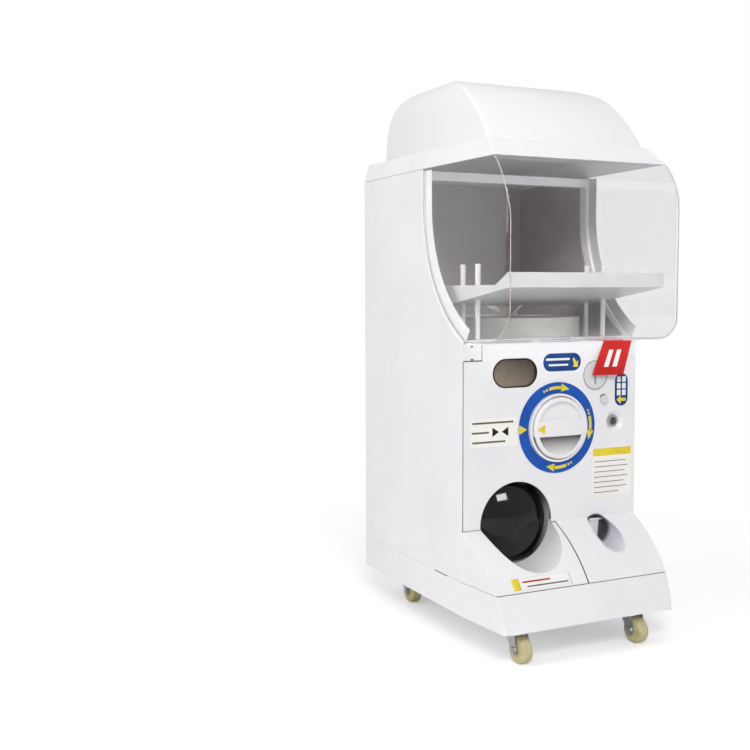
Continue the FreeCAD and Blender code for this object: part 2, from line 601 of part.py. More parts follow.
def make_door():
    back, split = "door_y + door_thick", "slope_split_x + swing_gap / 2"
    low = "seam_z + seam_gap"
    panel = prism("door_panel", "XZ", [door_face("0")], "door_y", back)
    room = prism("door_room", "XZ", [door_face("skin")], "door_y + skin", f"{back} + 1")
    slope = slope_block("door_outer", "0", split, "half_width", back, low)
    hollow = slope_block("door_inner", "skin", "slope_split_x - 5", "half_width", f"{back} + 5", "seam_z")
    neck = box("door_neck", (split, "half_width"), ("door_y", back), ("crease_z - skin", "crease_z + skin"))
    flank = box("door_flank", ("half_width - wall", "half_width"), ("door_y", "door_y + door_wrap"),
                (low, "block_z - seam_gap"))
    hull = cut("door_hull", join("door_raw", [panel, slope, neck, flank]), [room, hollow])
    ear_x = ("hinge_x - ear_half", "hinge_x + ear_half")
    bosses = [
        box("boss_top", ear_x, ("door_y", back), ("block_z - ear_high", "block_z - seam_gap")),
        box("boss_low", ear_x, ("door_y", back), ("crease_z + seam_gap", "crease_z + ear_high")),
        cylinder("boss_lock", "lock_cone + 2", "door_y", f"{back} + 2", "Y", "lock_x", "lock_z"),
        cylinder("boss_button", "button_radius + 3", "door_y", "door_y + button_long", "Y", "button_x",
                 "button_z"),
        cylinder("boss_knob", "bush_flange + 2", "door_y", back, "Y", "knob_x", "knob_z"),
    ]
    cone = doc.addObject("Part::Cone", "LockDish")
    cone.setExpression("Radius1", bound("lock_cone"))
    cone.setExpression("Radius2", bound("lock_radius"))
    cone.setExpression("Height", bound("door_thick - 1"))
    place(cone, "lock_x", "door_y", "lock_z", Rotation(Vector(1, 0, 0), -90))
    holes = [
        cylinder("door_outlet", "outlet_radius", "door_y - 1", f"{back} + 1", "Y", "outlet_x", "outlet_z"),
        prism("door_price", "XZ", [lying("price_z", "price_x - price_half", "price_x + price_half",
                                         "price_radius")],
              "door_y - 1", back),
        cylinder("door_coin", "coin_hub + play", "door_y - 1", back, "Y", "coin_x", "coin_z"),
        cylinder("door_knob", "bush_radius + press_gap", "door_y - 1", f"{back} + 1", "Y", "knob_x",
                 "knob_z"),
        cylinder("door_button", "button_radius + run_fit", "door_y - 1", "door_y + button_long + 1", "Y",
                 "button_x", "button_z"),
        cylinder("door_lock", "lock_radius", "door_y - 1", f"{back} + 3", "Y", "lock_x", "lock_z"),
        cylinder("door_cup", "cup_radius + cup_wall", "nose_y", f"{back} + 1", "Y", "cup_x", "cup_z"),
        cylinder("door_pin_top", "hinge_pin + run_fit", "block_z - hinge_reach - 2", "block_z", "Z",
                 "hinge_x", "hinge_y"),
        cylinder("door_pin_low", "hinge_pin + run_fit", "crease_z", "crease_z + hinge_reach + 2", "Z",
                 "hinge_x", "hinge_y"),
        cone,
    ]
    return keep(cut("front_door", join("door_bossed", [hull] + bosses), holes))


def make_door_mounts():
    """Corner blocks beside the door's top edge, hinge pins and lock keeper."""
    inside = "half_width - wall"
    depth, heights = ("door_y", "door_y + block_deep"), ("block_z", "sill_z + 1.5")
    left = box("block_left", (f"-({inside})", "block_left_x - seam_gap"), depth, heights)
    bore = cylinder("block_bore", "hinge_pin + press_gap", "block_z - 1", "block_z + hinge_reach + 2", "Z",
                    "hinge_x", "hinge_y")
    right = box("block_right", ("block_right_x + seam_gap", inside), depth, heights)
    keep(group("corner_blocks", [cut("block_hinged", left, [bore]), right]))
    pins = [cylinder("pin_top", "hinge_pin", "block_z - hinge_reach", "block_z + hinge_reach", "Z",
                     "hinge_x", "hinge_y"),
            cylinder("pin_low", "hinge_pin", "crease_z - lug_high + 3", "crease_z + hinge_reach", "Z",
                     "hinge_x", "hinge_y")]
    keep(group("door_hinge_pins", pins))
    catch = ("keeper_low", "keeper_high")
    front, rear, thick = "door_y + keeper_front", "door_y + keeper_back", "keeper_thick"
    arm_x = (f"{inside} - 1.5 - {thick}", f"{inside} - 1.5")
    foot = box("keeper_foot", (arm_x[0], inside), ("door_y + door_wrap + 3", rear), catch)
    arm = box("keeper_arm", arm_x, (front, rear), catch)
    lip = box("keeper_lip", ("keeper_x", arm_x[1]), (front, f"{front} + {thick}"), catch)
    keep(join("lock_keeper", [foot, arm, lip]))


# Knob: dial with two finger scoops that leave a bar, on a shaft with a driving tang
def make_knob():
    face, rim = "-(knob_back + knob_high)", "-(knob_back + knob_rim)"
    edge_x, edge_y = "knob_radius - knob_edge", f"{face} + knob_crown"
    dome = f"(({edge_x}) ^ 2 + knob_crown ^ 2) / (2 * knob_crown)"
    bend = "(knob_edge ^ 2 + (knob_high - knob_crown - knob_rim) ^ 2) / (2 * knob_edge)"
    profile = [("0", "-knob_back"), ("0", face), (edge_x, edge_y, dome), ("knob_radius", rim, bend),
               ("knob_radius", "-knob_back")]
    dial = place(turned("knob_dial", profile, "XY"), "knob_x", "door_y", "knob_z")
    scoops = []
    for sign in ("1", "-1"):
        edge = "sqrt(grip_radius ^ 2 - bar_half ^ 2)"
        half_moon = [(f"knob_x - {sign} * {edge}", f"knob_z - {sign} * bar_half"),
                     (f"knob_x + {sign} * {edge}", f"knob_z - {sign} * bar_half"),
                     ("knob_x", f"knob_z - {sign} * grip_radius", "-(grip_radius)"),
                     (f"knob_x - {sign} * {edge}", f"knob_z - {sign} * bar_half", "-(grip_radius)")]
        label = "scoop_high" if sign == "-1" else "scoop_low"
        scoops.append(prism(label, "XZ", [half_moon], "door_y - knob_back - knob_high - 5",
                            "door_y - knob_back - grip_floor"))
    seat = cylinder("knob_seat", "shaft_radius + press_gap", "door_y - shaft_seat", "door_y", "Y", "knob_x",
                    "knob_z")
    keep(cut("knob", dial, scoops + [seat]))
    shaft = cylinder("knob_rod", "shaft_radius", "door_y - shaft_seat", "dog_y", "Y", "knob_x", "knob_z")
    tang = box("knob_tang", ("knob_x - shaft_radius", "knob_x + shaft_radius"),
               ("dog_y - 1", "dog_y + dog_deep"),
               ("knob_z - dog_thick / 2", "knob_z + dog_thick / 2"))
    groove = prism("clip_groove", "XZ", [("knob_x", "knob_z", "shaft_radius + 1"),
                                         ("knob_x", "knob_z", "shaft_radius - 1")], "dog_y - 5",
                   "dog_y - 3.5")
    keep(cut("knob_shaft", join("knob_shaft_raw", [shaft, tang]), [groove]))
    clip = prism("clip_ring", "XZ", [("knob_x", "knob_z", "shaft_radius + 4"),
                                     ("knob_x", "knob_z", "shaft_radius - 0.9")], "dog_y - 4.8",
                 "dog_y - 3.7")
    mouth = box("clip_mouth", ("knob_x - 4", "knob_x + 4"), ("dog_y - 6", "dog_y"),
                ("knob_z - 20", "knob_z"))
    keep(cut("shaft_clip", clip, [mouth]))
    inner = "knob_radius + knob_gap"
    for label, gap, width, high in (("knob_bezel", "0", "bezel_wall", "bezel_high"),
                                    ("knob_ring", "bezel_wall + ring_gap", "ring_width", "ring_thick")):
        edge = f"{inner} + {gap}"
        keep(prism(label, "XZ", [("knob_x", "knob_z", f"{edge} + {width}"), ("knob_x", "knob_z", edge)],
                   f"door_y - {high}", "door_y"))
    sleeve = cylinder("bush_sleeve", "bush_radius", "door_y", "door_y + bush_long", "Y", "knob_x", "knob_z")
    flange = cylinder("bush_collar", "bush_flange", "door_y + door_thick", "door_y + door_thick + 3", "Y",
                      "knob_x", "knob_z")
    bore = cylinder("bush_bore", "shaft_radius + run_fit", "door_y - 1", "door_y + bush_long + 1", "Y",
                    "knob_x", "knob_z")
    keep(cut("knob_bushing", join("bush_raw", [sleeve, flange]), [bore]))


def bevel(label, turn, spot):
    """Straight bevel gear of a mitre pair: the tooth ring shrinks towards the point where the axes cross."""
    teeth = int(size("gear_teeth"))
    cone, face = size("gear_cone"), size("gear_face")
    tip, root = cone + size("gear_addendum"), cone - size("gear_dedendum")
    pitch = 2 * math.pi / teeth
    fill = size("gear_fill") * pitch

    def ring(depth):
        points = []
        for k in range(teeth):
            for radius, shift in ((root, -0.62), (tip, -0.34), (tip, 0.34), (root, 0.62)):
                angle = k * pitch + shift * fill
                points.append(Vector(radius * math.cos(angle), radius * math.sin(angle),
                                     cone) * (depth / cone))
        return Part.makePolygon(points + points[:1])

    shape = Part.makeLoft([ring(cone), ring(cone - face)], True, True)
    hub = Part.makeCylinder(root - 1, size("gear_hub"), Vector(0, 0, cone))
    bore = Part.makeCylinder(size("rod_radius + press_gap"), 2 * cone, Vector(0, 0, 0))
    obj = doc.addObject("Part::Feature", new_name(label))
    obj.Label = label
    obj.Shape = shape.fuse(hub).cut(bore).removeSplitter()
    obj.Placement = Placement(Vector(*(size(s) for s in spot)), turn)
    return keep(obj)


def make_drive():
    meeting = ("knob_x", "wheel_y", "knob_z")
    half_pitch = 180 / size("gear_teeth")
    bevel("bevel_gear", Rotation(), meeting)
    bevel("bevel_pinion", Rotation(Vector(1, 0, 0), 90) * Rotation(Vector(0, 0, 1), half_pitch), meeting)
    rod = "rod_radius"
    socket = cylinder("socket_head", "socket_radius", "dog_y + 1", "dog_y + dog_deep + 6", "Y", "knob_x",
                      "knob_z")
    stem = cylinder("socket_stem", rod, "dog_y + dog_deep", "wheel_y - gear_cone + gear_face", "Y",
                    "knob_x", "knob_z")
    slot = box("socket_slot", ("knob_x - 20", "knob_x + 20"), ("dog_y", "dog_y + dog_deep + 1"),
               ("knob_z - dog_thick / 2 - dog_gap", "knob_z + dog_thick / 2 + dog_gap"))
    keep(cut("pinion_shaft", join("pinion_shaft_raw", [socket, stem]), [slot]))
    keep(cylinder("wheel_shaft", rod, "knob_z + gear_cone - gear_face", "wheel_high + shaft_top", "Z",
                  "knob_x", "wheel_y"))
    under = "floor_z - floor_thick"
    width, rear = ("knob_x - bracket_half", "knob_x + bracket_half"), "bracket_y + bracket_thick"
    plate = box("bracket_plate", width, ("bracket_y", rear), ("knob_z - bracket_drop", under))
    foot = box("bracket_foot", width, ("bracket_y - bracket_foot", rear),
               (f"{under} - bracket_thick", under))
    boss = cylinder("bracket_boss", "socket_radius + 1", "bracket_y - boss_long", f"{rear} + boss_long",
                    "Y", "knob_x", "knob_z")
    bore = cylinder("bracket_bore", f"{rod} + run_fit", "dog_y", "wheel_y", "Y", "knob_x", "knob_z")
    keep(cut("gear_bracket", join("bracket_raw", [plate, foot, boss]), [bore]))
    sleeve = cylinder("wheel_sleeve", "bush_radius", "knob_z + gear_cone + gear_hub + play",
                      "wheel_low - play", "Z",
                      "knob_x", "wheel_y")
    collar = cylinder("wheel_collar", "bush_flange", f"{under} - 3", under, "Z", "knob_x", "wheel_y")
    hole = cylinder("wheel_hole", f"{rod} + run_fit", "knob_z", "wheel_high", "Z", "knob_x", "wheel_y")
    keep(cut("wheel_bushing", join("wheel_bush_raw", [sleeve, collar]), [hole]))


def make_wheel():
    """Dispensing wheel: a thick drum with round pockets, and a hub with three stirring fins on top."""
    drum = cylinder("wheel_drum", "wheel_radius", "wheel_low", "wheel_high", "Z", "knob_x", "wheel_y")
    tools = [cylinder("wheel_bore", "rod_radius + press_gap", "wheel_low - 1", "wheel_high + 1", "Z",
                      "knob_x", "wheel_y")]
    count = int(size("pockets"))
    base = math.degrees(math.atan2(size(drop_y()) - size("wheel_y"), size("outlet_x - knob_x")))
    for k in range(count):
        angle = base + 180 / count + k * 360 / count
        x = f"knob_x + pocket_ring * cos({angle:.3f} deg)"
        y = f"wheel_y + pocket_ring * sin({angle:.3f} deg)"
        tools.append(cylinder(f"pocket_{k}", "pocket_radius", "wheel_low - 1", "wheel_high + 1", "Z", x, y))
    keep(cut("dispensing_wheel", drum, tools))
    rim, top = "agitator_hub", "agitator_hub_high"
    outline = [("0", "0"), (rim, "0"), (f"{rim} - 4", f"{top} - 4", f"{rim}"), ("rod_radius", top),
               ("0", top)]
    cap = place(turned("stir_cap", outline), "knob_x", "wheel_y", "wheel_high")
    seat = cylinder("stir_seat", "rod_radius + press_gap", "wheel_high - 1",
                    "wheel_high + shaft_top + press_gap", "Z",
                    "knob_x", "wheel_y")
    parts = [cut("stir_hub", cap, [seat])]
    reach, lift, rod = "agitator_reach", "(agitator_z - wheel_high)", "agitator_rod"
    fin = [("agitator_hub / 2", rod), (f"{reach} + {rod}", f"{lift} / 2 - {rod}"),
           (f"{reach} * 1.1 + {rod}", lift), (f"{reach} * 1.1 - {rod}", lift),
           (f"{reach} - {rod}", f"{lift} / 2 + {rod}"), ("agitator_hub / 2", f"3 * {rod}")]
    for k in range(3):
        arm = prism(f"stir_arm_{k}", "XZ", [fin], f"-{rod}", rod)
        parts.append(place(arm, "knob_x", "wheel_y", "wheel_high", Rotation(Vector(0, 0, 1), 20 + 120 * k)))
    keep(join("agitator", parts))


def make_chute():
    """Capsule duct: a square drop under the floor that opens into a wide mouth behind the outlet."""
    y_mid = drop_y()
    top = "floor_z - floor_thick"
    x_low, x_high = "outlet_x - chute_half", "outlet_x + chute_half"
    y_low, y_high = f"{y_mid} - chute_half", f"{y_mid} + chute_half"
    mouth_x = ("outlet_x - mouth_half", "outlet_x + mouth_half")
    mouth_z = ("outlet_z - mouth_half", "outlet_z + mouth_half + mouth_rise")
    wall = "chute_wall"
    duct = box("duct_outer", (x_low, x_high), (y_low, y_high), (mouth_z[1] + " - 10", top))
    side = [("mouth_y", mouth_z[0]), ("mouth_y", mouth_z[1]), (y_high, mouth_z[1]),
            (y_high, "chute_floor_rear_z"),
            ("mouth_y + chute_floor_flat", mouth_z[0])]
    hall = prism("hall_outer", "YZ", [side], *mouth_x)
    duct_room = box("duct_inner", (f"{x_low} + {wall}", f"{x_high} - {wall}"),
                    (f"{y_low} + {wall}", f"{y_high} - {wall}"), (mouth_z[1] + " - 30", f"{top} + 1"))
    rear, ceiling = f"{y_high} - {wall}", f"{mouth_z[1]} - {wall}"
    room_side = [("mouth_y - 1", f"{mouth_z[0]} + {wall}"), ("mouth_y - 1", ceiling), (rear, ceiling),
                 (rear, f"chute_floor_rear_z + {wall}"),
                 ("mouth_y + chute_floor_flat", f"{mouth_z[0]} + {wall}")]
    room = prism("hall_inner", "YZ", [room_side], f"{mouth_x[0]} + {wall}", f"{mouth_x[1]} - {wall}")
    raw = cut("chute_raw", join("chute_block", [duct, hall]), [duct_room, room])
    pivot = cylinder("chute_pivot", "shutter_pin + run_fit", f"{mouth_x[0]} - 1", f"{mouth_x[1]} + 1", "X",
                     "shutter_pivot_y", "outlet_z + shutter_radius")
    keep(cut("capsule_chute", raw, [pivot]))
    dome_radius = "(shutter_radius ^ 2 + shutter_dome ^ 2) / (2 * shutter_dome)"
    rim = "shutter_pivot_y"
    profile = [("0", "-shutter_dome"), ("shutter_radius", "0", f"{dome_radius}"),
               ("shutter_radius", "shutter_wall"),
               ("0", "-shutter_dome + shutter_wall", f"-({dome_radius})")]
    dome = place(turned("shutter_dome_shell", profile, "XY"), "outlet_x", rim, "outlet_z")
    rod = cylinder("shutter_rod", "shutter_pin", mouth_x[0], mouth_x[1], "X", rim,
                   "outlet_z + shutter_radius")
    web = box("shutter_web", ("outlet_x - shutter_web", "outlet_x + shutter_web"),
              (f"{rim} - 1", f"{rim} + shutter_wall"),
              ("outlet_z + shutter_radius - shutter_web_high", "outlet_z + shutter_radius"))
    keep(join("outlet_shutter", [dome, rod, web]))


# Coin side: price window, coin entry, coin chute, return button, lock, return cup and cash box
def make_coin_parts():
    back = "door_y + door_thick"
    ends = ("price_x - price_half", "price_x + price_half")
    lens = lying("price_z", *ends, "price_radius", "-0.1")
    keep(prism("price_window", "XZ", [lens], "door_y + 1", "door_y + 1 + lens_thick"))
    wide, high = "price_half + price_radius + price_side", "price_radius + price_side"
    case = box("price_case", (f"price_x - ({wide})", f"price_x + {wide}"),
               ("door_y + skin", f"{back} + price_deep"),
               (f"price_z - ({high})", f"price_z + {high}"))
    wide, high = f"{wide} - price_wall", f"{high} - price_wall"
    room = box("price_room", (f"price_x - ({wide})", f"price_x + {wide}"),
               ("door_y", f"{back} + price_deep - price_wall"),
               (f"price_z - ({high})", f"price_z + {high}"))
    keep(cut("price_box", case, [room]))
    disc = cylinder("coin_disc", "coin_radius", "door_y - coin_lip", "door_y", "Y", "coin_x", "coin_z")
    hub = cylinder("coin_core", "coin_hub", "door_y - 1", back, "Y", "coin_x", "coin_z")
    slot = box("coin_slot", ("coin_x - slot_wide / 2", "coin_x + slot_wide / 2"),
               ("door_y - 5", f"{back} + 1"),
               ("coin_z - slot_high / 2", "coin_z + slot_high / 2"))
    keep(cut("coin_entry", join("coin_raw", [disc, hub]), [slot]))
    rear = f"{back} + race_deep"
    body = box("race_body", ("chute_left", "chute_right"), (back, rear),
               ("race_low", "coin_z + coin_hub + 3"))
    race = box("race_room", ("coin_x - coin_gap / 2", "coin_x + coin_gap / 2"),
               (f"{back} - 1", f"{rear} - 3"),
               ("race_low - 1", "coin_z + coin_hub"))
    keep(cut("coin_chute", body, [race]))
    inner = "door_y + button_long"
    stem = cylinder("button_stem", "button_radius", "door_y - button_proud", inner, "Y", "button_x",
                    "button_z")
    collar = cylinder("button_rim", "button_radius + button_collar", inner, f"{inner} + 2", "Y", "button_x",
                      "button_z")
    keep(join("return_button", [stem, collar]))
    front, rear = "door_y + lock_sunk", "door_y + lock_long"
    barrel = cylinder("lock_barrel", "lock_radius - press_gap", front, rear, "Y", "lock_x", "lock_z")
    nut = prism("lock_ring", "XZ", [("lock_x", "lock_z", "lock_radius + lock_nut")], f"{back} + 2",
                f"{back} + 5")
    bore = cylinder("lock_bore", "lock_plug + run_fit", "door_y", f"{rear} + 1", "Y", "lock_x", "lock_z")
    keep(cut("lock_body", join("lock_raw", [barrel, nut]), [bore]))
    cam_front = f"{rear} + play"
    plug = cylinder("plug_rod", "lock_plug", f"{front} - play", cam_front, "Y", "lock_x", "lock_z")
    key = box("key_slot", ("lock_x - key_wide / 2", "lock_x + key_wide / 2"),
              ("door_y", f"{front} + key_deep"),
              ("lock_z - key_high / 2", "lock_z + key_high / 2"))
    keep(cut("lock_plug", plug, [key]))
    keep(prism("lock_cam", "XZ", [stadium("lock_x", "lock_z", "lock_z + cam_long - cam_half", "cam_half")],
               cam_front,
               f"{cam_front} + cam_thick"))


def make_return():
    """Coin return cup let into the slope, with a hanging flap over the coin exit."""
    back = "cup_back_y + skin"
    outer = cylinder("cup_outer", "cup_radius + cup_wall - play", "nose_y", back, "Y", "cup_x", "cup_z")
    under = slope_block("cup_under", "0", "slope_split_x", "half_width", back, "seam_z + seam_gap")
    cap = box("cup_cap", ("slope_split_x", "half_width"), ("door_y", back),
              ("crease_z - skin", "crease_z + cup_radius"))
    body = overlap("cup_body", [outer, join("cup_zone", [under, cap])])
    room = cylinder("cup_room", "cup_radius", "nose_y", "cup_back_y", "Y", "cup_x", "cup_z")
    gate = box("cup_gate", ("cup_x - flap_half + 2", "cup_x + flap_half - 2"),
               ("cup_back_y - 1", f"{back} + 1"),
               ("flap_top - flap_high + 2", "flap_top - 6"))
    pin_y, pin_z = "cup_back_y - 4", "flap_top"
    reach = "sqrt(cup_radius ^ 2 - (flap_top - cup_z) ^ 2) + cup_wall / 2"
    ends = (f"cup_x - ({reach})", f"cup_x + {reach}")
    socket = cylinder("cup_socket", "flap_pin + run_fit", *ends, "X", pin_y, pin_z)
    keep(cut("return_cup", body, [room, gate, socket]))
    foot = f"{pin_z} - flap_high"
    shape = [("cup_x - flap_half", pin_z), ("cup_x - flap_half + flap_taper", foot),
             ("cup_x + flap_half - flap_taper", foot), ("cup_x + flap_half", pin_z)]
    plate = prism("flap_plate", "XZ", [shape], f"{pin_y} - flap_thick / 2", f"{pin_y} + flap_thick / 2")
    barrel = cylinder("flap_barrel", "flap_pin + 1", "cup_x - flap_half", "cup_x + flap_half", "X", pin_y,
                      pin_z)
    stubs = cylinder("flap_stubs", "flap_pin", f"{ends[0]} + play", f"{ends[1]} - play", "X", pin_y, pin_z)
    keep(join("return_flap", [plate, barrel, stubs]))


def make_cash_box():
    """Open cash tin that stands on the base floor under the coin chute."""
    front, foot, wall = "door_y + 22", "skirt_z + base_floor", "cash_wall"
    outer = box("cash_outer", ("cash_left", "cash_right"), (front, "cash_rear_y"), (foot, "cash_top"))
    inner = box("cash_inner", (f"cash_left + {wall}", f"cash_right - {wall}"),
                (f"{front} + {wall}", f"cash_rear_y - {wall}"), (f"{foot} + {wall}", "cash_top + 1"))
    keep(cut("cash_box", outer, [inner]))


def make_tag():
    """Soft flag hooked over the door's top edge; it leans to the left and lifts off the coin entry."""
    top, near, thick = "sill_z - 0.4", "door_y - 0.5", "tag_thick"
    edges = []
    for lean, left_y, right_y in (("tag_lean", f"{near} - tag_curl", f"{near} - tag_curl - tag_twist"),
                                  ("0", near, near)):
        left, right = f"tag_x - {lean} - tag_half", f"tag_x - {lean} + tag_half"
        edges.append([(left, left_y), (right, right_y), (right, f"{right_y} - {thick}"),
                      (left, f"{left_y} - {thick}")])
    flag = lofted("tag_flag", *edges, "tag_low", top)
    hook = box("tag_hook", ("tag_x - tag_half", "block_right_x - 1"), (f"{near} - {thick}", "door_y + 6"),
               (top, f"{top} + {thick}"))
    keep(join("pause_tag", [flag, hook]))


# Casters: plate under the base, swivel fork, bolt and solid wheel
def make_casters():
    plates = []
    drop, hub_z = "skirt_z - plate_thick", "wheel_tyre"
    crown, inner = f"{drop} - play", "tyre_half + fork_gap"
    outer = f"{inner} + fork_wall"
    for end, y in (("front", "caster_front_y"), ("rear", "caster_rear_y")):
        for side, x in (("left", "-caster_x"), ("right", "caster_x")):
            name = f"{end}_{side}"
            hub_y = f"{y} - fork_offset"
            plate = box(f"plate_{name}", (f"{x} - plate_half", f"{x} + plate_half"),
                        (f"{y} - plate_half", f"{y} + plate_half"), (drop, "skirt_z"))
            pivot = cylinder(f"kingpin_{name}", "kingpin_radius", f"{drop} - kingpin_long", "skirt_z", "Z",
                             x, y)
            plates.append(join(f"caster_plate_{name}", [plate, pivot]))
            leg = [(f"{y} + fork_rear", f"{crown} - fork_crown"), (f"{y} + fork_rear", crown),
                   (f"{y} - fork_front", crown),
                   (f"{hub_y} - fork_foot", hub_z), (f"{hub_y}", f"{hub_z} - fork_foot", "fork_foot"),
                   (f"{hub_y} + fork_foot", hub_z, "fork_foot")]
            block = prism(f"fork_block_{name}", "YZ", [leg], f"{x} - ({outer})", f"{x} + {outer}")
            gap = box(f"fork_gap_{name}", (f"{x} - ({inner})", f"{x} + {inner}"),
                      (f"{y} - 60", f"{y} + 60"),
                      ("0", f"{crown} - fork_crown"))
            axle_bore = cylinder(f"fork_bore_{name}", "axle_radius + press_gap", f"{x} - 40", f"{x} + 40",
                                 "X", hub_y, hub_z)
            swivel = cylinder(f"fork_pivot_{name}", "kingpin_radius + run_fit", "wheel_tyre", "skirt_z",
                              "Z", x, y)
            keep(cut(f"caster_fork_{name}", block, [gap, axle_bore, swivel]))
            bolt = [cylinder(f"bolt_{name}", "axle_radius", f"{x} - ({outer})", f"{x} + {outer}", "X",
                             hub_y, hub_z)]
            for way, start in (("out", f"{x} - ({outer}) - bolt_head_high"), ("in", f"{x} + {outer}")):
                corners = [(f"{hub_y} + (axle_radius + bolt_head) * cos({turn} deg)",
                            f"{hub_z} + (axle_radius + bolt_head) * sin({turn} deg)")
                           for turn in range(0, 360, 60)]
                bolt.append(prism(f"head_{way}_{name}", "YZ", [corners], start,
                                  f"{start} + bolt_head_high"))
            keep(join(f"caster_axle_{name}", bolt))
            bore, low, turn = "axle_radius + run_fit", "-tyre_half", "tread_round"
            tread = [(bore, low), (f"wheel_tyre - {turn}", low),
                     ("wheel_tyre - tread_drop", f"{low} + tread_drop"),
                     ("wheel_tyre", f"{low} + {turn}"), ("wheel_tyre", f"tyre_half - {turn}"),
                     ("wheel_tyre - tread_drop", "tyre_half - tread_drop"),
                     (f"wheel_tyre - {turn}", "tyre_half"),
                     (bore, "tyre_half")]
            wheel = turned(f"caster_wheel_{name}", tread)
            keep(place(wheel, x, hub_y, hub_z, Rotation(Vector(0, 1, 0), 90)))
    keep(group("caster_plates", plates))


for build in (make_cabinet, make_base, make_outlet_tray, make_window_frame, make_window_cover, make_hopper,
              make_display_tray, make_lid, make_hood, make_lid_hinges, make_door, make_door_mounts,
              make_knob, make_drive, make_wheel, make_chute, make_coin_parts, make_return, make_cash_box,
              make_tag,
              make_casters):
    build()

doc.recompute()
failed = [o.Label for o in doc.Objects if "Invalid" in o.State or "Error" in o.State]
failed += [o.Label for o in finished if o.Shape.isNull() or not o.Shape.isValid()]
if failed:
    raise SystemExit("not built: " + ", ".join(failed))
os.makedirs("parts", exist_ok=True)
for obj in finished:
    obj.Shape.exportStep(f"parts/{obj.Label}.step")
    print(obj.Label, len(obj.Shape.Solids), round(obj.Shape.Volume / 1000, 1), "cm3", obj.Shape.BoundBox)
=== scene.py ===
import math

import bmesh
import bpy
from mathutils import Matrix, Vector
from mathutils.bvhtree import BVHTree


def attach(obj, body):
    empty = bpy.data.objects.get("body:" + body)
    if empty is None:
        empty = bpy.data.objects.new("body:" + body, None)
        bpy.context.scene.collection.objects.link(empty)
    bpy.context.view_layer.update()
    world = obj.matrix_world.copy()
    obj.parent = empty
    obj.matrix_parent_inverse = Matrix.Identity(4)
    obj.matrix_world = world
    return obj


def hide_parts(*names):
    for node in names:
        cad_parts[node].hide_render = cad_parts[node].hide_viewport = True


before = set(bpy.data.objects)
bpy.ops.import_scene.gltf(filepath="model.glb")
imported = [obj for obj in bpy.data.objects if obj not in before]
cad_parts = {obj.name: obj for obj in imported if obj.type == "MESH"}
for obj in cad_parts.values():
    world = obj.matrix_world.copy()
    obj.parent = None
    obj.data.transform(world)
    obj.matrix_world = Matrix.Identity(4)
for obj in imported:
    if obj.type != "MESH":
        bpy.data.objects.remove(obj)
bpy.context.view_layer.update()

# Studio. A white paper sweep under and behind the machine, soft boxes in front, on the left and above, a
# small window light that the dome mirrors and an even white room, as in a catalogue shot.
# The camera stands where the photograph's perspective puts it, 1.5 m before the machine and 0.9 m left.
scene = bpy.context.scene
scene.view_settings.view_transform = "Standard"


def placed(name, data):
    """An object that shows the data, put into the scene."""
    made = bpy.data.objects.new(name, data)
    scene.collection.objects.link(made)
    return made


SENSOR_MM, PICTURE_PIXELS, FOCAL_PIXELS = 36.0, 750, 1050.6
TILT_DOWN, TURN_RIGHT, ROLL = 0.0788, 0.4434, 0.0034
camera_data = bpy.data.cameras.new("camera")
camera_data.sensor_width = SENSOR_MM
camera_data.lens = FOCAL_PIXELS * SENSOR_MM / PICTURE_PIXELS
camera = placed("camera", camera_data)
camera.location = (-0.9348, -1.4513, 0.5385)
camera.rotation_euler = (math.pi / 2 - TILT_DOWN, 0.0, -TURN_RIGHT)
camera.rotation_euler.rotate_axis("Z", -ROLL)
scene.camera = camera


def linear(code):
    """Linear colour of an sRGB hex value."""
    parts = [int(code[k:k + 2], 16) / 255 for k in (1, 3, 5)]
    return [p / 12.92 if p <= 0.04045 else ((p + 0.055) / 1.055) ** 2.4 for p in parts] + [1.0]


def add_node(tree, kind, inputs=None, **settings):
    """Adds a node with its settings; an input is a value or another node's output."""
    node = tree.nodes.new(kind)
    for key, value in settings.items():
        setattr(node, key, value)
    for key, value in (inputs or {}).items():
        if isinstance(value, bpy.types.NodeSocket):
            tree.links.new(value, node.inputs[key])
        else:
            node.inputs[key].default_value = value
    return node


def maths(tree, operation, first, second):
    """The result of an operation on two values."""
    return add_node(tree, "ShaderNodeMath", {0: first, 1: second}, operation=operation).outputs[0]


def mixed(tree, share, first, second):
    """Two shaders in one; share is the part of the second."""
    return add_node(tree, "ShaderNodeMixShader", {0: share, 1: first, 2: second}).outputs[0]


def seen_directly(tree):
    """1 for rays from the camera, straight or through glass, and 0 for rays that gather light."""
    path = add_node(tree, "ShaderNodeLightPath").outputs
    return maths(tree, "MAXIMUM", path["Is Camera Ray"], path["Is Transmission Ray"])


world = bpy.data.worlds.new("white_room")
scene.world = world
world.use_nodes = True
room = world.node_tree
room.nodes.clear()
room_fill = add_node(room, "ShaderNodeBackground", {"Color": linear("#F7F6F7"), "Strength": 0.55})
room_seen = add_node(room, "ShaderNodeBackground", {"Color": linear("#FFFFFF"), "Strength": 1.0})
room_mix = mixed(room, seen_directly(room), room_fill.outputs[0], room_seen.outputs[0])
add_node(room, "ShaderNodeOutputWorld", {"Surface": room_mix})

for label, place, aim, size, power in (
        ("soft_box_front", (-1.2, -2.2, 1.9), (0, 0, 0.55), (0.9, 0.7), 34),
        ("soft_box_left", (-2.4, 0.3, 1.5), (0, 0.05, 0.45), (1.4, 1.6), 17.5),
        ("soft_box_top", (0.1, -0.7, 2.3), (0, 0, 0.7), (1.4, 1.0), 6),
        ("window_light", (0.2, -1.145, 0.638), (-0.08, -0.11, 0.226), (0.3, 0.17), 3.4)):
    lamp = bpy.data.lights.new(label, "AREA")
    lamp.shape = "RECTANGLE"
    lamp.size, lamp.size_y = size
    lamp.energy = power
    lamp_object = placed(label, lamp)
    lamp_object.location = place
    lamp_object.rotation_euler = (Vector(aim) - Vector(place)).to_track_quat("-Z", "Y").to_euler()


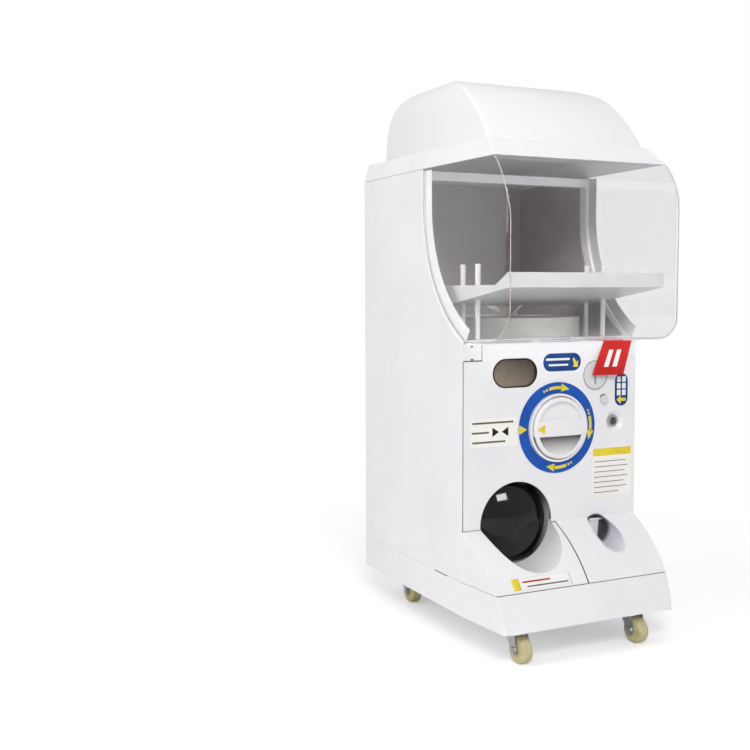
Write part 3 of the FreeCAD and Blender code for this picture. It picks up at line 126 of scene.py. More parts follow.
def blank_material(name):
    """A new material with nothing in it, and its node tree."""
    made = bpy.data.materials.new(name)
    made.use_nodes = True
    made.node_tree.nodes.clear()
    return made, made.node_tree


def surface(tree, shader):
    """Ends a material's tree with a shader."""
    add_node(tree, "ShaderNodeOutputMaterial", {"Surface": shader})


def object_space(tree):
    """The place of a point on its piece, in metres."""
    return add_node(tree, "ShaderNodeTexCoord").outputs["Object"]


def noise(tree, spot, width, detail, roughness=0.5):
    """Cloudy noise with patches about width metres across."""
    return add_node(tree, "ShaderNodeTexNoise", {"Vector": spot, "Scale": 1 / width, "Detail": detail,
                                                 "Roughness": roughness}).outputs["Fac"]


def ramp(tree, value, low, high, to_low=0.0, to_high=1.0):
    """A value brought from the range low to high to another range, and held at its ends."""
    return add_node(tree, "ShaderNodeMapRange", {0: value, 1: low, 2: high, 3: to_low, 4: to_high}).outputs[0]


def blend(tree, share, first, second):
    """Two sRGB hex colours mixed; share is the part of the second."""
    return add_node(tree, "ShaderNodeMix", {0: share, 6: linear(first), 7: linear(second)},
                    data_type="RGBA").outputs[2]


# The sweep takes soft shadows near the machine and burns out to plain white further off.
paper, tree = blank_material("white_paper_sweep")
spot = object_space(tree)
paper_tone = blend(tree, noise(tree, spot, 0.3, 3.0), "#F3F3F3", "#F0F0F0")
paper_light = add_node(tree, "ShaderNodeBsdfDiffuse", {"Color": paper_tone}).outputs[0]
paper_glow = add_node(tree, "ShaderNodeEmission", {"Color": linear("#FFFFFF"), "Strength": 0.3}).outputs[0]
paper_near = add_node(tree, "ShaderNodeAddShader", {0: paper_light, 1: paper_glow}).outputs[0]
paper_far = add_node(tree, "ShaderNodeEmission", {"Color": linear("#FFFFFF"), "Strength": 1.0}).outputs[0]
away = add_node(tree, "ShaderNodeVectorMath", {0: spot}, operation="LENGTH").outputs["Value"]
paper_seen = mixed(tree, ramp(tree, away, 0.45, 1.0), paper_near, paper_far)
surface(tree, mixed(tree, seen_directly(tree), paper_light, paper_seen))
HALF_FLOOR = 9.0
floor_mesh = bpy.data.meshes.new("floor")
floor_mesh.from_pydata([(x * HALF_FLOOR, y * HALF_FLOOR, 0) for x, y in ((-1, -1), (1, -1), (1, 1), (-1, 1))],
                       [], [(0, 1, 2, 3)])
floor_mesh.materials.append(paper)
floor = placed("floor", floor_mesh)


# Casters. Four swivel casters of pressed zinc-plated steel: a plate bolted under the base, a fork that
# turns on its kingpin, a bolt through the fork and a solid nylon wheel gone ivory with use.


def dress(material, *names):
    """Gives a finish to CAD nodes."""
    for name in names:
        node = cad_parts[name]
        if not node.material_slots:
            node.data.materials.append(material)
        for held in node.material_slots:
            held.material = material


def dents(tree, height, strength, depth):
    """The normal of a surface with low bumps of a depth in metres."""
    return add_node(tree, "ShaderNodeBump", {"Height": height, "Strength": strength,
                                             "Distance": depth}).outputs[0]


def skin(tree, inputs):
    """Ends a material's tree with one physical surface."""
    surface(tree, add_node(tree, "ShaderNodeBsdfPrincipled", inputs).outputs[0])


def plated(name, shine, dull, rough, wear):
    """Bright plated or polished metal: blotchy crystal tone, fine drawn scratches."""
    made, tree = blank_material(name)
    spot = object_space(tree)
    stretch = add_node(tree, "ShaderNodeMapping", {"Vector": spot, "Scale": (1, 1, 12)}).outputs[0]
    drawn = noise(tree, stretch, 0.008, 5.0)
    skin(tree, {"Base Color": blend(tree, noise(tree, spot, 0.006, 4.0), shine, dull), "Metallic": 1.0,
                "Roughness": ramp(tree, drawn, 0.3, 0.7, rough, rough + wear),
                "Normal": dents(tree, drawn, 0.25, 0.0001)})
    return made


def moulded(name, pale, deep, rough, grain, lift, patch=0.09, shine=0.5):
    """Injection-moulded plastic: slow drift of tone, a fine eroded grain and uneven handling gloss.
    grain is the width of the mould's texture in metres, drawn coarse enough to show."""
    made, tree = blank_material(name)
    spot = object_space(tree)
    drift = noise(tree, spot, patch, 4.0, 0.6)
    eroded = noise(tree, spot, grain, 2.0)
    worn = maths(tree, "ADD", eroded, drift)
    skin(tree, {"Base Color": blend(tree, ramp(tree, drift, 0.35, 0.7), pale, deep),
                "Roughness": ramp(tree, worn, 0.6, 1.4, rough - 0.07, rough + 0.09), "IOR": 1.53,
                "Specular IOR Level": shine, "Normal": dents(tree, eroded, 0.3, lift)})
    return made


# Zinc plating shows a cool grey with a soft crystal bloom; the nylon is waxy and slightly yellowed.
zinc = plated("zinc_plated_steel", "#C9CBCC", "#A3A6A8", 0.26, 0.16)
nylon = moulded("cast_nylon", "#CFC799", "#B3A976", 0.46, 0.003, 0.0002, 0.02)
dress(zinc, "caster_plates")
for end in ("front", "rear"):
    for side in ("left", "right"):
        dress(zinc, f"caster_fork_{end}_{side}", f"caster_axle_{end}_{side}")
        dress(nylon, f"caster_wheel_{end}_{side}")

# A hexagon head over a round washer, hung from the underside of the plate at each of its four holes
bolt_work = bmesh.new()
for sides, radius, depth in ((6, 0.0034, 0.0024), (20, 0.0042, 0.0006)):
    bmesh.ops.create_cone(bolt_work, cap_ends=True, segments=sides, radius1=radius, radius2=radius,
                          depth=depth, matrix=Matrix.Translation((0, 0, -depth / 2)))
bolt_mesh = bpy.data.meshes.new("plate_bolt")
bolt_work.to_mesh(bolt_mesh)
bolt_work.free()
bolt_pattern = bpy.data.objects.new("plate_bolt", bolt_mesh)


def shape_tree(name, *inputs):
    """A tree that makes geometry from geometry and the named inputs, and its input sockets."""
    tree = bpy.data.node_groups.new(name, "GeometryNodeTree")
    tree.interface.new_socket("Geometry", in_out="INPUT", socket_type="NodeSocketGeometry")
    for label, kind in inputs:
        tree.interface.new_socket(label, in_out="INPUT", socket_type="NodeSocket" + kind)
    tree.interface.new_socket("Geometry", in_out="OUTPUT", socket_type="NodeSocketGeometry")
    return tree, add_node(tree, "NodeGroupInput").outputs


def at_points(tree, points, shape):
    """A shape set at each point, as real geometry."""
    there = add_node(tree, "GeometryNodeInstanceOnPoints", {"Points": points, "Instance": shape})
    return add_node(tree, "GeometryNodeRealizeInstances", {0: there.outputs[0]}).outputs[0]


def finished(tree, geometry, finish):
    """Ends a shape's tree with the geometry in its finish."""
    done = add_node(tree, "GeometryNodeSetMaterial", {"Geometry": geometry, "Material": finish})
    add_node(tree, "NodeGroupOutput", {0: done.outputs[0]})


def grown(name, points, tree, settings, edges=()):
    """A plain mesh made by a shape's tree from points or lines, with its inputs set by name."""
    seeds = bpy.data.meshes.new(name + "_points")
    seeds.from_pydata(points, edges, [])
    carrier = placed(name + "_points", seeds)
    modifier = carrier.modifiers.new("grow", "NODES")
    modifier.node_group = tree
    for item in tree.interface.items_tree:
        if item.in_out == "INPUT" and item.name in settings:
            modifier[item.identifier] = settings[item.name]
    view = bpy.context.evaluated_depsgraph_get()
    mesh = bpy.data.meshes.new_from_object(carrier.evaluated_get(view))
    bpy.data.objects.remove(carrier)
    mesh.name = name
    return placed(name, mesh)


bolting, given = shape_tree("plate_bolts", ("Hole pitch", "Float"), ("Bolt", "Object"),
                            ("Finish", "Material"))
pitch = given["Hole pitch"]
grid = add_node(bolting, "GeometryNodeMeshGrid", {"Size X": pitch, "Size Y": pitch,
                                                  "Vertices X": 2, "Vertices Y": 2})
holes = at_points(bolting, given["Geometry"], grid.outputs["Mesh"])
bolt_shape = add_node(bolting, "GeometryNodeObjectInfo", {"Object": given["Bolt"]})
finished(bolting, at_points(bolting, holes, bolt_shape.outputs["Geometry"]), given["Finish"])

SWIVEL_X, SWIVEL_FRONT, SWIVEL_REAR, PLATE_UNDERSIDE = 0.105, -0.178, 0.162, 0.0515
swivels = [(x, y, PLATE_UNDERSIDE) for x in (-SWIVEL_X, SWIVEL_X) for y in (SWIVEL_FRONT, SWIVEL_REAR)]
plate_bolts = grown("plate_bolts", swivels, bolting,
                    {"Hole pitch": 0.036, "Bolt": bolt_pattern, "Finish": zinc})
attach(plate_bolts, "cabinet")


# Cabinet. The tall body shell and the base tray under it are moulded in white ABS with a fine eroded
# grain; the tray carries the casters and its nose runs forward under the slope.


def merged(name):
    """A CAD node's mesh to work on, with its split corners joined and its flat faces made whole."""
    work = bmesh.new()
    work.from_mesh(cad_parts[name].data)
    bmesh.ops.remove_doubles(work, verts=work.verts, dist=0.00002)
    bmesh.ops.dissolve_limit(work, angle_limit=math.radians(0.6), verts=work.verts, edges=work.edges)
    return work


def stand_in(name, work, material):
    """A smooth-shaded object of one finish, made from a worked mesh to stand in for a CAD node."""
    mesh = bpy.data.meshes.new(name + "_moulded")
    work.to_mesh(mesh)
    work.free()
    for layer in ("custom_normal", "sharp_face", "sharp_edge"):
        if layer in mesh.attributes:
            mesh.attributes.remove(mesh.attributes[layer])
    mesh.materials.append(material)
    mesh.shade_smooth()
    return placed(name + "_moulded", mesh)


def softened(name, body, width, material):
    """A copy of a CAD node with the small round that a mould leaves on every edge; it stands in for it."""
    piece = stand_in(name, merged(name), material)
    edge = piece.modifiers.new("edge_round", "BEVEL")
    edge.width = width
    edge.segments = 2
    edge.limit_method = "ANGLE"
    edge.angle_limit = math.radians(32)
    edge.use_clamp_overlap = False
    edge.harden_normals = True
    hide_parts(name)
    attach(piece, body)


# White ABS, satin: neutral white with a faint cool drift, a low sheen and a grain of about half a
# millimetre, drawn at two millimetres so that it shows.
white_abs = moulded("white_abs", "#EEEDEF", "#E7E6E9", 0.36, 0.002, 0.0001, 0.16)
softened("cabinet_shell", "cabinet", 0.0009, white_abs)
softened("base_tray", "cabinet", 0.0009, white_abs)

# Front door. One white moulding with the slope below it, hung on two pins at the left; a block in each
# top corner of the opening holds the pins and the stop.
softened("front_door", "door", 0.0007, white_abs)
softened("corner_blocks", "cabinet", 0.0005, white_abs)
steel = plated("bright_steel", "#BFC1C3", "#9A9DA0", 0.22, 0.14)
dress(steel, "door_hinge_pins", "lock_keeper")

# Capsule outlet. The scoop is a white moulding let into the slope; behind it hangs a smoked dome that
# swings in, and a chute of grey plastic leads down to it from the wheel.
softened("outlet_tray", "cabinet", 0.0007, white_abs)
smoked, tree = blank_material("smoked_polystyrene")
smear = noise(tree, object_space(tree), 0.03, 5.0)
skin(tree, {"Base Color": blend(tree, smear, "#0B0B0B", "#121213"), "IOR": 1.59, "Specular IOR Level": 0.29,
            "Roughness": ramp(tree, smear, 0.4, 0.75, 0.04, 0.1)})
dress(smoked, "outlet_shutter")
# The window light falls on the dome alone, so that it leaves no smear in the clear cover
dome_only = bpy.data.collections.new("dome_only")
dome_only.objects.link(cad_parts["outlet_shutter"])
bpy.data.objects["window_light"].light_linking.receiver_collection = dome_only
grey_abs = moulded("grey_abs", "#B9BABB", "#AEB0B2", 0.42, 0.002, 0.0001)
dress(grey_abs, "capsule_chute")

# Knob. A white dial with a raised grip bar turns inside a white bezel; a printed blue film ring round it
# carries three clockwise arrows, and two triangles meet when the knob is at its start.
# Shade is painted into the sunk half under the bar, darkest right below it, where the bar shadows the recess.
knob_abs, tree = blank_material("white_abs_painted_shade")
spot = object_space(tree)
place = add_node(tree, "ShaderNodeSeparateXYZ", {0: spot}).outputs
sunk = ramp(tree, place["Y"], -0.1272, -0.1228)
near_bar = ramp(tree, place["Z"], 0.287, 0.313)
below_bar = maths(tree, "LESS_THAN", place["Z"], 0.3175)
# painted shade: a darker grey in the sunk half under the bar, which the bar shadows
painted_shade_under_bar = maths(tree, "MULTIPLY", maths(tree, "MULTIPLY", sunk, near_bar), below_bar)
skin(tree, {"Base Color": blend(tree, painted_shade_under_bar, "#EBEAEB", "#6E6B69"), "IOR": 1.53,
            "Roughness": ramp(tree, noise(tree, spot, 0.015, 4.0), 0.3, 0.7, 0.28, 0.42)})
softened("knob", "knob", 0.0008, knob_abs)
softened("knob_bezel", "door", 0.0006, white_abs)
dress(steel, "knob_shaft", "shaft_clip")
acetal = moulded("acetal", "#E4E2DA", "#D9D7CE", 0.38, 0.002, 0.00008)
dress(acetal, "knob_bushing")
blue_film = moulded("printed_blue_film", "#1A57B4", "#144AA0", 0.36, 0.004, 0.00004, 0.05, 0.2)
dress(blue_film, "knob_ring")
yellow_ink = moulded("yellow_screen_ink", "#EAD645", "#DCC52F", 0.42, 0.003, 0.00004, 0.03, 0.2)


def added(name, work, material, body, smooth=False):
    """A new piece of one finish, made from a worked mesh, that rides on a body."""
    bmesh.ops.recalc_face_normals(work, faces=work.faces)
    mesh = bpy.data.meshes.new(name)
    work.to_mesh(mesh)
    work.free()
    mesh.materials.append(material)
    if smooth:
        mesh.shade_smooth()
    piece = placed(name, mesh)
    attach(piece, body)


MM = 0.001


def flat_piece(name, outlines, near, lift, material, body):
    """Thin flat shapes on a face that looks forward: closed outlines of x and z in millimetres, raised
    by lift from the depth near."""
    work = bmesh.new()
    for outline in outlines:
        face = work.faces.new([work.verts.new((x * MM, near * MM, z * MM)) for x, z in outline])
        for item in bmesh.ops.extrude_face_region(work, geom=[face])["geom"]:
            if isinstance(item, bmesh.types.BMVert):
                item.co.y -= lift * MM
    added(name, work, material, body)


# In millimetres: the knob's axis, the door's face, the film ring and the printed track on it
KNOB_X, KNOB_Z = 10.0, 329.0
DOOR_FACE, RING_THICK, KNOB_FRONT = -117.0, 0.8, -128.2
TRACK, TRACK_HALF = 62, 2.4


def polar(radius, degrees, x=KNOB_X, z=KNOB_Z):
    """A point at an angle and distance from a centre."""
    return (x + radius * math.cos(math.radians(degrees)), z + radius * math.sin(math.radians(degrees)))


def arc_bar(inner, outer, start, end, steps=10, x=KNOB_X, z=KNOB_Z):
    """Outline of a bar bent round a centre between two angles."""
    angles = [start + (end - start) * k / steps for k in range(steps + 1)]
    return [polar(outer, a, x, z) for a in angles] + [polar(inner, a, x, z) for a in reversed(angles)]


def dot(angle, size):
    """Outline of a round dot on the track."""
    x, z = polar(TRACK, angle)
    return [polar(size, 30 * k, x, z) for k in range(12)]


arrows = []
for start in (114, 23, -65):
    arrows += [dot(start, 1.8), dot(start - 5, 2.0),
               arc_bar(TRACK - TRACK_HALF, TRACK + TRACK_HALF, start - 9, start - 31),
               [polar(56, start - 30), polar(68.5, start - 30), polar(62.5, start - 44)]]
arrows.append([(-60.3, KNOB_Z + 7.6), (-60.3, KNOB_Z - 7.6), (-45.6, KNOB_Z)])
flat_piece("ring_arrows", arrows, DOOR_FACE - RING_THICK, 0.12, yellow_ink, "door")
flat_piece("knob_pointer", [[(-34.5, KNOB_Z), (-20, KNOB_Z + 7), (-20, KNOB_Z - 7)]], KNOB_FRONT, 0.65,
           yellow_ink, "knob")

# Price window. A clear lens snapped into the door with a shallow box behind it that holds a price card;
# the card is a warm grey, darker to the upper right, and a black gasket shows round the lens.


def clear(name, tint):
    """Clear moulded sheet: light goes straight through and shallow angles mirror the room, with faint
    flow waves and light scuffs."""
    made, tree = blank_material(name)
    spot = object_space(tree)
    scuffs = ramp(tree, noise(tree, spot, 0.05, 6.0), 0.5, 0.8, 0.03, 0.08)
    waves = dents(tree, noise(tree, spot, 0.12, 1.0), 0.15, 0.001)
    through = add_node(tree, "ShaderNodeBsdfRefraction",
                       {"Color": linear(tint), "IOR": 1.0, "Roughness": 0.0}).outputs[0]
    mirror = add_node(tree, "ShaderNodeBsdfGlossy",
                      {"Color": linear("#FFFFFF"), "Roughness": scuffs, "Normal": waves}).outputs[0]
    slant = add_node(tree, "ShaderNodeLayerWeight", {"Blend": 0.5}).outputs["Facing"]
    share = ramp(tree, maths(tree, "POWER", slant, 3.0), 0.0, 1.0, 0.03, 0.8)
    lamps = add_node(tree, "ShaderNodeBsdfTransparent", {"Color": linear(tint)}).outputs[0]
    shadow = add_node(tree, "ShaderNodeLightPath").outputs["Is Shadow Ray"]
    surface(tree, mixed(tree, shadow, mixed(tree, share, through, mirror), lamps))
    return made


def slab(x0, x1, z0, z1):
    """Outline of a rectangle between its limits."""
    return [(x0, z0), (x0, z1), (x1, z1), (x1, z0)]


lens = clear("clear_lens_styrene", "#F6F4F0")
dress(lens, "price_window")
dark_abs = moulded("dark_abs", "#77695B", "#5E544A", 0.5, 0.006, 0.0001, 0.02, 0.3)
dress(dark_abs, "price_box")
card, tree = blank_material("warm_grey_card")
spot = object_space(tree)
place = add_node(tree, "ShaderNodeSeparateXYZ", {0: spot}).outputs
# the card darkens towards the upper right
towards_upper_right = maths(tree, "ADD", ramp(tree, place["X"], -0.108, -0.028), ramp(tree, place["Z"], 0.394, 0.438))
fibre = noise(tree, spot, 0.004, 3.0)
card_darkening = ramp(tree, maths(tree, "ADD", towards_upper_right, fibre), 0.7, 2.1)
skin(tree, {"Base Color": blend(tree, card_darkening, "#8E8475", "#3C3631"), "Roughness": 0.7})
CARD_BACK, GASKET_BACK = DOOR_FACE + 4.4, DOOR_FACE + 1
flat_piece("price_card", [slab(-106, -28, 394.5, 437.5)], CARD_BACK, 0.4, card, "door")

gasket_rubber = moulded("black_rubber", "#1E1B19", "#292624", 0.55, 0.003, 0.00005, 0.02, 0.2)
LENS_LEFT, LENS_RIGHT, LENS_Z, GASKET_IN, GASKET_OUT = -84.5, -49.5, 416, 19.9, 22.0
gasket = [arc_bar(GASKET_IN, GASKET_OUT, 90, 270, 24, LENS_LEFT, LENS_Z),
          arc_bar(GASKET_IN, GASKET_OUT, -90, 90, 24, LENS_RIGHT, LENS_Z),
          slab(LENS_LEFT, LENS_RIGHT, LENS_Z + GASKET_IN, LENS_Z + GASKET_OUT),
          slab(LENS_LEFT, LENS_RIGHT, LENS_Z - GASKET_OUT, LENS_Z - GASKET_IN)]
flat_piece("price_gasket", gasket, GASKET_BACK, 0.9, gasket_rubber, "door")

# Coin side. A round coin plate of pale grey plastic with its upright slot, the race behind it, a return
# button and a chrome cam lock in a dished seat; thin lines of painted shadow lie in the gaps round the plate
# and over the button.
chrome = plated("bright_chrome", "#D9DADC", "#C4C6C9", 0.08, 0.1)
pale_abs = moulded("pale_grey_abs", "#DADBDD", "#D0D2D5", 0.3, 0.002, 0.0001, 0.04)
softened("coin_entry", "door", 0.0005, pale_abs)
dress(dark_abs, "coin_chute")
dress(pale_abs, "return_button")
dress(chrome, "lock_body")
plug_steel = plated("worn_lock_steel", "#8F9195", "#55575B", 0.16, 0.2)
dress(plug_steel, "lock_plug")
dress(steel, "lock_cam")
painted_gap_shadow = moulded("seam_shadow_grey", "#6A6866", "#595755", 0.5, 0.003, 0.00003, 0.02, 0.2)
# painted shadow: a dark grey line laid in the gap round the coin plate
flat_piece("coin_plate_edge", [arc_bar(21.9, 22.9, 0, 358, steps=60, x=80, z=408)], DOOR_FACE - 2, 0.1,
           painted_gap_shadow, "door")
# painted shadow: a dark crescent laid in the gap over the return button
flat_piece("button_gap", [arc_bar(6.6, 8.0, 35, 150, steps=16, x=97, z=369)], DOOR_FACE, 0.15,
           gasket_rubber, "door")

# Seam shadows. Shadow is painted into the joint lines round the left corner block, down the hinge side of the
# door and along the base, and the ends of the hinge pins show as dark spots above and below the block.


def rounded_bar(x, z, half_wide, half_high, radius, steps=8):
    """Outline of a rectangle with rounded corners."""
    outline = []
    for turn, (sx, sz) in enumerate(((1, 1), (-1, 1), (-1, -1), (1, -1))):
        cx, cz = x + sx * (half_wide - radius), z + sz * (half_high - radius)
        outline += [polar(radius, 90 * turn + 90 * k / steps, cx, cz) for k in range(steps + 1)]
    return outline


BASE_FRONT = -205.0
hinge_marks = [slab(-157, -125.2, 436.1, 437.2), slab(-126.2, -125.2, 437.2, 459),
               rounded_bar(-142.8, 438.6, 2.2, 1.4, 0.6, 2), rounded_bar(-143, 457.8, 2.0, 1.1, 0.5, 2)]
door_marks = [slab(-157.9, -157.1, 182.7, 436), slab(-157.9, -125.5, 181.8, 182.6)]
base_marks = [slab(-153, 7, 105.8, 106.7), slab(8, 153, 106, 106.5)]
# painted shadow: dark strips laid in the joints round the corner block, down the hinge side and along the
# base
flat_piece("hinge_dirt", hinge_marks, DOOR_FACE, 0.08, painted_gap_shadow, "cabinet")
flat_piece("door_seam_dirt", door_marks, DOOR_FACE, 0.08, painted_gap_shadow, "cabinet")
flat_piece("base_seam_dirt", base_marks, BASE_FRONT, 0.1, painted_gap_shadow, "cabinet")

# Coin return. A slanted grey cup let into the slope, with shade painted dark into its far end, and a white
# flap hung inside that keeps fingers out of the race.
cup_abs, tree = blank_material("satin_grey_abs")
spot = object_space(tree)
# painted shade: the grey darkens towards the far end of the cup, where shade falls
deep = ramp(tree, add_node(tree, "ShaderNodeSeparateXYZ", {0: spot}).outputs["Y"], -0.130, -0.120)
skin(tree, {"Base Color": blend(tree, deep, "#D3D4DA", "#5A595E"), "IOR": 1.53,
            "Roughness": ramp(tree, noise(tree, spot, 0.012, 4.0), 0.3, 0.7, 0.3, 0.42)})
dress(cup_abs, "return_cup")
dress(white_abs, "return_flap")

# Labels. Printed vinyl stuck flat on the door: two dark blue signs with a white border and a yellow
# arrow, a cream sign with two facing triangles, and a cream notice under a yellow band.
# Each row gives the outlines, what lies under them and their own thickness.
white_vinyl = moulded("white_vinyl", "#F1F1EF", "#E9E9E6", 0.32, 0.004, 0.00004, 0.05)
navy_vinyl = moulded("navy_vinyl", "#1A4688", "#153B78", 0.36, 0.004, 0.00004, 0.05, 0.2)
cream_vinyl = moulded("cream_vinyl", "#F6F4EE", "#F0EDE5", 0.36, 0.004, 0.00004, 0.05)
black_ink = moulded("black_screen_ink", "#161617", "#202022", 0.5, 0.003, 0.00003, 0.02, 0.2)
grey_ink = moulded("grey_screen_ink", "#6E6B68", "#5D5A57", 0.5, 0.003, 0.00003, 0.02, 0.2)
VINYL, FILM, INK = 0.15, 0.1, 0.08
for name, outlines, under, thick, finish, slot in (
        ("coin_sign_border", [rounded_bar(18, 430, 36.5, 15.3, 15)], 0, VINYL, white_vinyl, "blue_film"),
        ("coin_sign", [rounded_bar(18, 430, 35, 13.8, 13.6)], VINYL, FILM, navy_vinyl, "blue_film"),
        ("coin_sign_rules", [rounded_bar(10, 434.6, 22, 1.7, 0.8, 2),
                             rounded_bar(11, 425.8, 18, 1.5, 0.7, 2)],
         VINYL + FILM, INK, white_vinyl, "blue_film"),
        ("coin_sign_arrow", [[(37.2, 434.2), (39.8, 436.6), (44.6, 429.4), (47.6, 432.2), (47.4, 421.6),
                              (37.4, 422.6), (40.4, 425.4)]], VINYL + FILM, INK, yellow_ink, "blue_film"),
        ("return_sign_border", [rounded_bar(132, 383, 14.2, 27.5, 13.8)], 0, VINYL, white_vinyl, "blue_film"),
        ("return_sign", [rounded_bar(132, 383, 12.8, 26, 12.4)], VINYL, FILM, navy_vinyl, "blue_film"),
        ("return_sign_arrow", [[(123, 367), (131, 374), (131, 369.4), (141, 369.4), (141, 364.6),
                                (131, 364.6), (131, 360)]], VINYL + FILM, INK, yellow_ink, "blue_film"),
        ("return_sign_rules", [rounded_bar(x, z, 3.6, 4.4, 0.8, 2) for x in (127, 137)
                               for z in (399.5, 388.8, 378.1)], VINYL + FILM, INK, white_vinyl, "blue_film"),
        ("start_sign", [rounded_bar(-104.5, 328.5, 41, 21.5, 1.5)], 0, VINYL, cream_vinyl, "white_plastic"),
        ("start_sign_marks", [[(-107, 335.5), (-107, 321.5), (-95.5, 328.5)],
                              [(-79, 335.5), (-79, 321.5), (-90.5, 328.5)]],
         VINYL, INK, black_ink, "white_plastic"),
        ("start_sign_rules", [rounded_bar(x, z, half_wide, 1.4, 0.6, 2) for x, z, half_wide in (
            (-106, 343, 36), (-128, 328.5, 15), (-113, 314, 29))], VINYL, INK, grey_ink, "white_plastic"),
        ("notice", [rounded_bar(115.5, 252.5, 38.5, 39.5, 1.5)], 0, VINYL, cream_vinyl, "white_plastic"),
        ("notice_band", [rounded_bar(115.5, 285, 37.5, 6, 0.8)], VINYL, INK, yellow_ink, "white_plastic"),
        ("notice_rules", [rounded_bar(114 - short / 2, 270 - 8.2 * row, 33 - short / 2, 0.55, 0.3, 2)
                          for row, short in enumerate((4, 0, 6, 0, 8, 2, 18))],
         VINYL, INK, grey_ink, "white_plastic")):
    flat_piece(name, outlines, DOOR_FACE - under, thick, finish, "door")

# Base label. A long strip of printed vinyl laid over the curve of the slope under the outlet, with a
# yellow square and two plain rules; it follows the moulding because it is dropped on to it.
slope_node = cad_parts["outlet_tray"]
slope = BVHTree.FromPolygons([slope_node.matrix_world @ vert.co for vert in slope_node.data.vertices],
                             [tuple(face.vertices) for face in slope_node.data.polygons])
BEFORE_SLOPE, CELL_WIDE, CELL_HIGH, PATCH_THICK = -260, 4, 2, 0.1


def laid_on_slope(name, x0, x1, z0, z1, lift, material):
    """A thin patch dropped on to the slope from the front, between limits of x and z in millimetres."""
    work = bmesh.new()
    across, up = max(2, round((x1 - x0) / CELL_WIDE)), max(2, round((z1 - z0) / CELL_HIGH))
    sheets = []
    for height in (lift, lift - PATCH_THICK):
        sheet = []
        for row in range(up + 1):
            line = []
            for step in range(across + 1):
                start = Vector((x0 + (x1 - x0) * step / across, BEFORE_SLOPE, z0 + (z1 - z0) * row / up)) * MM
                hit, normal, _, _ = slope.ray_cast(start, Vector((0, 1, 0)))
                line.append(work.verts.new(hit + normal * height * MM))
            sheet.append(line)
        sheets.append(sheet)
        for low, high in zip(sheet, sheet[1:]):
            for k in range(across):
                work.faces.new((low[k], low[k + 1], high[k + 1], high[k]))
    outer, inner = sheets
    for rim, under in ((outer[0], inner[0]), (outer[-1], inner[-1]),
                       ([line[0] for line in outer], [line[0] for line in inner]),
                       ([line[-1] for line in outer], [line[-1] for line in inner])):
        for k in range(len(rim) - 1):
            work.faces.new((rim[k], rim[k + 1], under[k + 1], under[k]))
    added(name, work, material, "cabinet", smooth=True)


red_vinyl = moulded("red_vinyl", "#C6231D", "#B51A17", 0.42, 0.004, 0.00006, 0.05, 0.25)
laid_on_slope("base_label", -122, -20, 109.5, 124.5, 0.15, white_vinyl)
laid_on_slope("base_label_square", -121.5, -109, 110, 124, 0.24, yellow_ink)
laid_on_slope("base_label_rule_red", -104, -56, 118.2, 120.2, 0.24, red_vinyl)
laid_on_slope("base_label_rule_grey", -98, -26, 112.6, 114.3, 0.24, grey_ink)

# Hold flag. A strip of red vinyl hooked over the door's top edge that leans forward over the coin plate,
# with two plain white bars on it for a pause.
dress(red_vinyl, "pause_tag")
FLAG_LEFT, FLAG_WIDE, FLAG_SLANT = 96, 54, 26
FLAG_TOP, FLAG_DROP = 460.6, 52.6
FLAG_FRONT, FLAG_LEAN, FLAG_TWIST = -118.7, 6, 7
BAR_WIDE, BAR_TOP, BAR_LONG, BAR_ROWS = 0.15, 0.26, 0.5, 5


def on_flag(across, down, lift):
    """A point on the flag's front, from 0 to 1 across and down, in metres."""
    return Vector((FLAG_LEFT + FLAG_WIDE * across - FLAG_SLANT * down,
                   FLAG_FRONT - (FLAG_LEAN + FLAG_TWIST * across) * down - lift,
                   FLAG_TOP - FLAG_DROP * down)) * MM


def bar_along(work, rows):
    """A closed bar through rows of four corners: two on one side, then two on the other."""
    for row, after in zip(rows, rows[1:]):
        for a, b in ((0, 1), (1, 3), (3, 2), (2, 0)):
            work.faces.new((row[a], row[b], after[b], after[a]))
    for row in (rows[0], rows[-1]):
        work.faces.new((row[0], row[1], row[3], row[2]))


bars = bmesh.new()
for left in (0.28, 0.56):
    downs = [BAR_TOP + BAR_LONG * row / BAR_ROWS for row in range(BAR_ROWS + 1)]
    bar_along(bars, [[bars.verts.new(on_flag(left + BAR_WIDE * side, down, lift))
                      for side in (0, 1) for lift in (0.0, VINYL)] for down in downs])
added("flag_bars", bars, white_vinyl, "door")

# Hopper. The inside is lined with grey sheet, floored in grey, and holds the capsule wheel with its
# stirrer; the display tray stands over it on four posts of white coated steel.
liner_grey = moulded("grey_liner_styrene", "#A89F9D", "#9A9190", 0.4, 0.003, 0.0001, 0.1)
dress(liner_grey, "hopper_liner")
dress(grey_abs, "hopper_floor")
wheel_white = moulded("ivory_abs", "#CFCECA", "#C4C3BE", 0.38, 0.002, 0.0001, 0.05)
softened("dispensing_wheel", "wheel", 0.0008, wheel_white)
dress(acetal, "agitator", "wheel_bushing")
tray_abs = moulded("smoke_grey_abs", "#C3C2C4", "#B8B7B9", 0.34, 0.002, 0.0001, 0.06)
softened("display_tray", "cabinet", 0.0007, tray_abs)
post_coat = moulded("white_coated_steel", "#DCDCDD", "#D0D0D1", 0.4, 0.002, 0.0001, 0.05)
dress(post_coat, "tray_posts")

# Drive and coin box. Bevel gears of acetal, steel shafts in a folded bracket, and a sheet steel box on
# the base for the takings.
dress(acetal, "bevel_gear", "bevel_pinion")
dress(steel, "pinion_shaft", "wheel_shaft")
dress(zinc, "gear_bracket", "cash_box")

# Window. A white frame round the cabinet's mouth and a clear cover bent from one sheet, with a full
# front and two curved sides; inside each side a white band runs along the curve where it meets the cabinet.
softened("window_frame", "cabinet", 0.0007, white_abs)
cover_clear = clear("clear_cover_acrylic", "#FCFCFC")
softened("window_cover", "cabinet", 0.0011, cover_clear)

